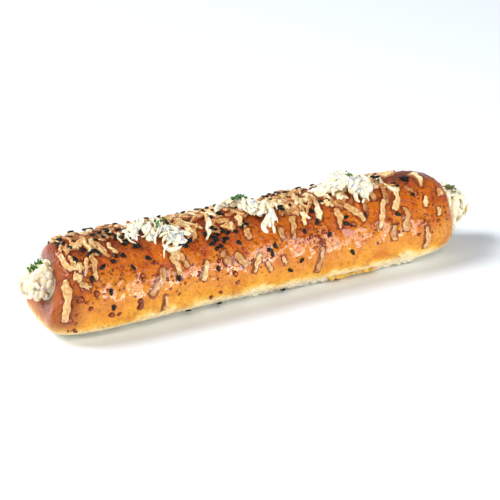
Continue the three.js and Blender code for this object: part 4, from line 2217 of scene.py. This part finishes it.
@dataclass
class Filling:
    """The filling: a core through the tunnel and a tangle at each mouth."""

    shape: LoafShape
    core_radius: float = 7.65
    core_sectors: int = 48
    core_stations: int = 60
    inset: float = 1.0
    ends: tuple[FillingEnd, ...] = (
        FillingEnd(
            name="left",
            side=-1,
            proud=15.0,
            radius=9.0,
            drop=-2.8,
            strands=12,
            seed=56,
            slivers=(
                ((2, 0, 8), (4, 0, 12), (5.5, 0, 15), (6.3, 0, 17)),
                ((9, 2, 0), (13, 4, 1), (15, 5, 3)),
                ((9, 3, -3), (12, 6, -2), (13, 8, -1)),
            ),
        ),
        FillingEnd(
            name="right",
            side=1,
            proud=20.5,
            radius=11.8,
            drop=3.5,
            strands=16,
            seed=58,
            slivers=(
                ((3, 0, 10), (4, 0, 15), (4.5, 0, 19)),
                ((5, 2, 11), (6, 2, 15), (6.5, 3, 18)),
                ((14, -2, 5), (18, -2, 3), (20.5, -2, 2)),
                ((9, -5, -9), (10, -6, -13), (10, -6, -16)),
                ((12, -3, -8), (13, -3, -12), (12, -3, -15)),
            ),
            curd=(1.9, 1.8, 3.4),
        ),
    )

    def core_mesh(self) -> bpy.types.Mesh:
        """Make the core inside the tunnel.

        Returns:
            Its mesh.
        """
        around = np.arange(self.core_sectors) * 2 * np.pi / self.core_sectors
        half = self.shape.length / 2 - self.inset
        rings = []
        for x in np.linspace(-half, half, self.core_stations):
            y = -self.core_radius * np.cos(around)
            z = self.shape.tunnel_height + self.core_radius * np.sin(around)
            rings.append(self.shape.leaned(np.full(len(around), x), y, z))
        ends = [ring.mean(0, keepdims=True) for ring in (rings[0], rings[-1])]
        skin = Skin()
        skin.rings([ends[0], *rings, ends[1]])
        return skin.mesh("filling_core")

    def build(self, material: bpy.types.Material, weave: StrandWeave) -> None:
        """Make the core and both ends.

        Args:
            material: The fresh finish.
            weave: The strands' tree.
        """
        dressed("filling_core", self.core_mesh(), material, ["filling"])
        for end in self.ends:
            end.build(self.shape, material, weave)


# ---- Studio ----


@dataclass(frozen=True)
class Lamp:
    """One soft rectangular light, aimed at the loaf."""

    name: str
    azimuth: float
    elevation: float
    distance: float
    size: tuple[float, float]
    power: float

    def build(self, target: Vector) -> None:
        """Make the light.

        Args:
            target: What it is aimed at.
        """
        data = bpy.data.lights.new(self.name, "AREA")
        data.shape = "RECTANGLE"
        data.size, data.size_y = self.size
        data.energy = self.power
        lamp = placed(self.name, data)
        back = direction(self.azimuth, self.elevation)
        lamp.location = target + back * self.distance
        lamp.rotation_euler = (-back).to_track_quat("-Z", "Y").to_euler()


def direction(azimuth: float, elevation: float) -> Vector:
    """Return the way towards a viewer; azimuth 0 stands in front of the loaf."""
    a, e = math.radians(azimuth), math.radians(elevation)
    return Vector((math.sin(a) * math.cos(e), -math.cos(a) * math.cos(e), math.sin(e)))


@dataclass
class Studio:
    """The floor, the lights and the camera."""

    azimuth: float = -27.6
    elevation: float = 24.0
    distance: float = 0.6738
    lens: float = 93.6
    shift: tuple[float, float] = (0.0016, -0.007)
    target: tuple[float, float, float] = (0.0, 0.0, 0.021)
    floor_size: float = 6.0
    floor_tint: tuple[float, float, float] = (0.895, 0.95, 1.0)
    sky: float = 0.26
    sky_tint: tuple[float, float, float] = (0.95, 0.98, 1.0)
    sensor: float = 36.0
    clips: tuple[float, float] = (0.01, 20.0)
    lamps: tuple[Lamp, ...] = (
        Lamp("key_light", -120, 44, 4.4, (2.0, 2.0), 228.0),
        Lamp("low_front_light", 19, 3, 1.0, (0.4, 0.1), 3.2),
        Lamp("front_light", 26, 14, 1.0, (0.4, 0.16), 2.4),
        Lamp("high_front_light", -10, 50, 1.1, (0.3, 0.15), 2.1),
        Lamp("left_light", -70, 30, 1.2, (0.3, 0.3), 2.2),
    )

    def floor(self) -> None:
        """Make the pale floor."""
        half = self.floor_size / 2
        mesh = bpy.data.meshes.new("floor")
        corners = [(-half, -half, 0), (half, -half, 0), (half, half, 0), (-half, half, 0)]
        mesh.from_pydata(corners, [], [(0, 1, 2, 3)])
        s = Shader("pale_floor")
        s.set(Base_Color=(*self.floor_tint, 1.0), Roughness=0.7, Specular_IOR_Level=0.2)
        mesh.materials.append(s.material)
        placed("floor", mesh)

    def world(self) -> None:
        """Light the scene evenly from all round."""
        world = bpy.data.worlds.new("pale_room")
        world.use_nodes = True
        back = world.node_tree.nodes["Background"]
        back.inputs["Color"].default_value = (*self.sky_tint, 1.0)
        back.inputs["Strength"].default_value = self.sky
        bpy.context.scene.world = world

    def camera(self) -> None:
        """Set the camera, a little above the loaf and to its left."""
        data = bpy.data.cameras.new("camera")
        data.lens = self.lens
        data.sensor_width = self.sensor
        data.shift_x, data.shift_y = self.shift
        data.clip_start, data.clip_end = self.clips
        camera = placed("camera", data)
        back = direction(self.azimuth, self.elevation)
        camera.location = Vector(self.target) + back * self.distance
        camera.rotation_euler = (-back).to_track_quat("-Z", "Y").to_euler()
        bpy.context.scene.camera = camera

    def build(self) -> None:
        """Make the studio."""
        self.floor()
        self.world()
        for lamp in self.lamps:
            lamp.build(Vector(self.target))
        self.camera()
        view = bpy.context.scene.view_settings
        view.view_transform = "Standard"
        view.look = "None"
        view.exposure = 0.0


def write_size() -> None:
    """Bring the view layer up to date."""
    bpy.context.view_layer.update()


def heaps(shape: LoafShape) -> list[Garnish]:
    """List the heaps of fresh topping.

    Args:
        shape: The loaf that they lie on.

    Returns:
        The left one, the middle one and the right one.
    """
    left = (
        Cluster(-66, 84, 5, 9, 16),
        Cluster(-57, 72, 4, 8, 10),
        Cluster(-49, 60, 5, 8, 17),
    )
    middle = (
        Cluster(-10, 98, 7, 9, 12),
        Cluster(-4, 80, 6, 12, 16),
        Cluster(2, 60, 4, 10, 9),
    )
    right = (
        Cluster(44, 88, 5, 7, 8),
        Cluster(55, 82, 7, 12, 34),
        Cluster(62, 72, 5, 8, 18),
    )
    thick = dict(girth=1.5, blunt=0.4)
    return [
        Garnish(shape, "garnish_left", 101, left, fan=-35, girth=1.5, reach=(7, 13)),
        Garnish(shape, "garnish_middle", 112, middle, fan=-50, flatness=0.6, **thick),
        Garnish(shape, "garnish_right", 103, right, fan=10, curd=2.4, flatness=0.7, **thick),
    ]


def main() -> None:
    """Build every piece in order and report it."""
    logging.basicConfig(level=logging.INFO, format="%(message)s")
    Studio().build()
    shape = LoafShape()
    cheese = BakedCheese(shape)
    spots = cheese.build(BakedCheeseFinish().material())
    Crust(shape).build(CrustFinish().material(), spots)
    Blisters(shape).build(BlisterFinish().material())
    Seeds(shape).build(SesameFinish().material(), cheese, spots)
    fresh = FreshFinish().material()
    weave = StrandWeave()
    for heap in heaps(shape):
        heap.build(fresh, weave)
    Filling(shape).build(fresh, weave)
    green = ChiveFinish().material()
    olive = ChiveFinish("dull_chive", "7d8636", "4a4a20", "b3ab5c").material()
    for group in CHIVE_GROUPS:
        group.build(olive if group.name == DULL_GROUP else green)
    write_size()


if __name__ == "__main__":
    main()
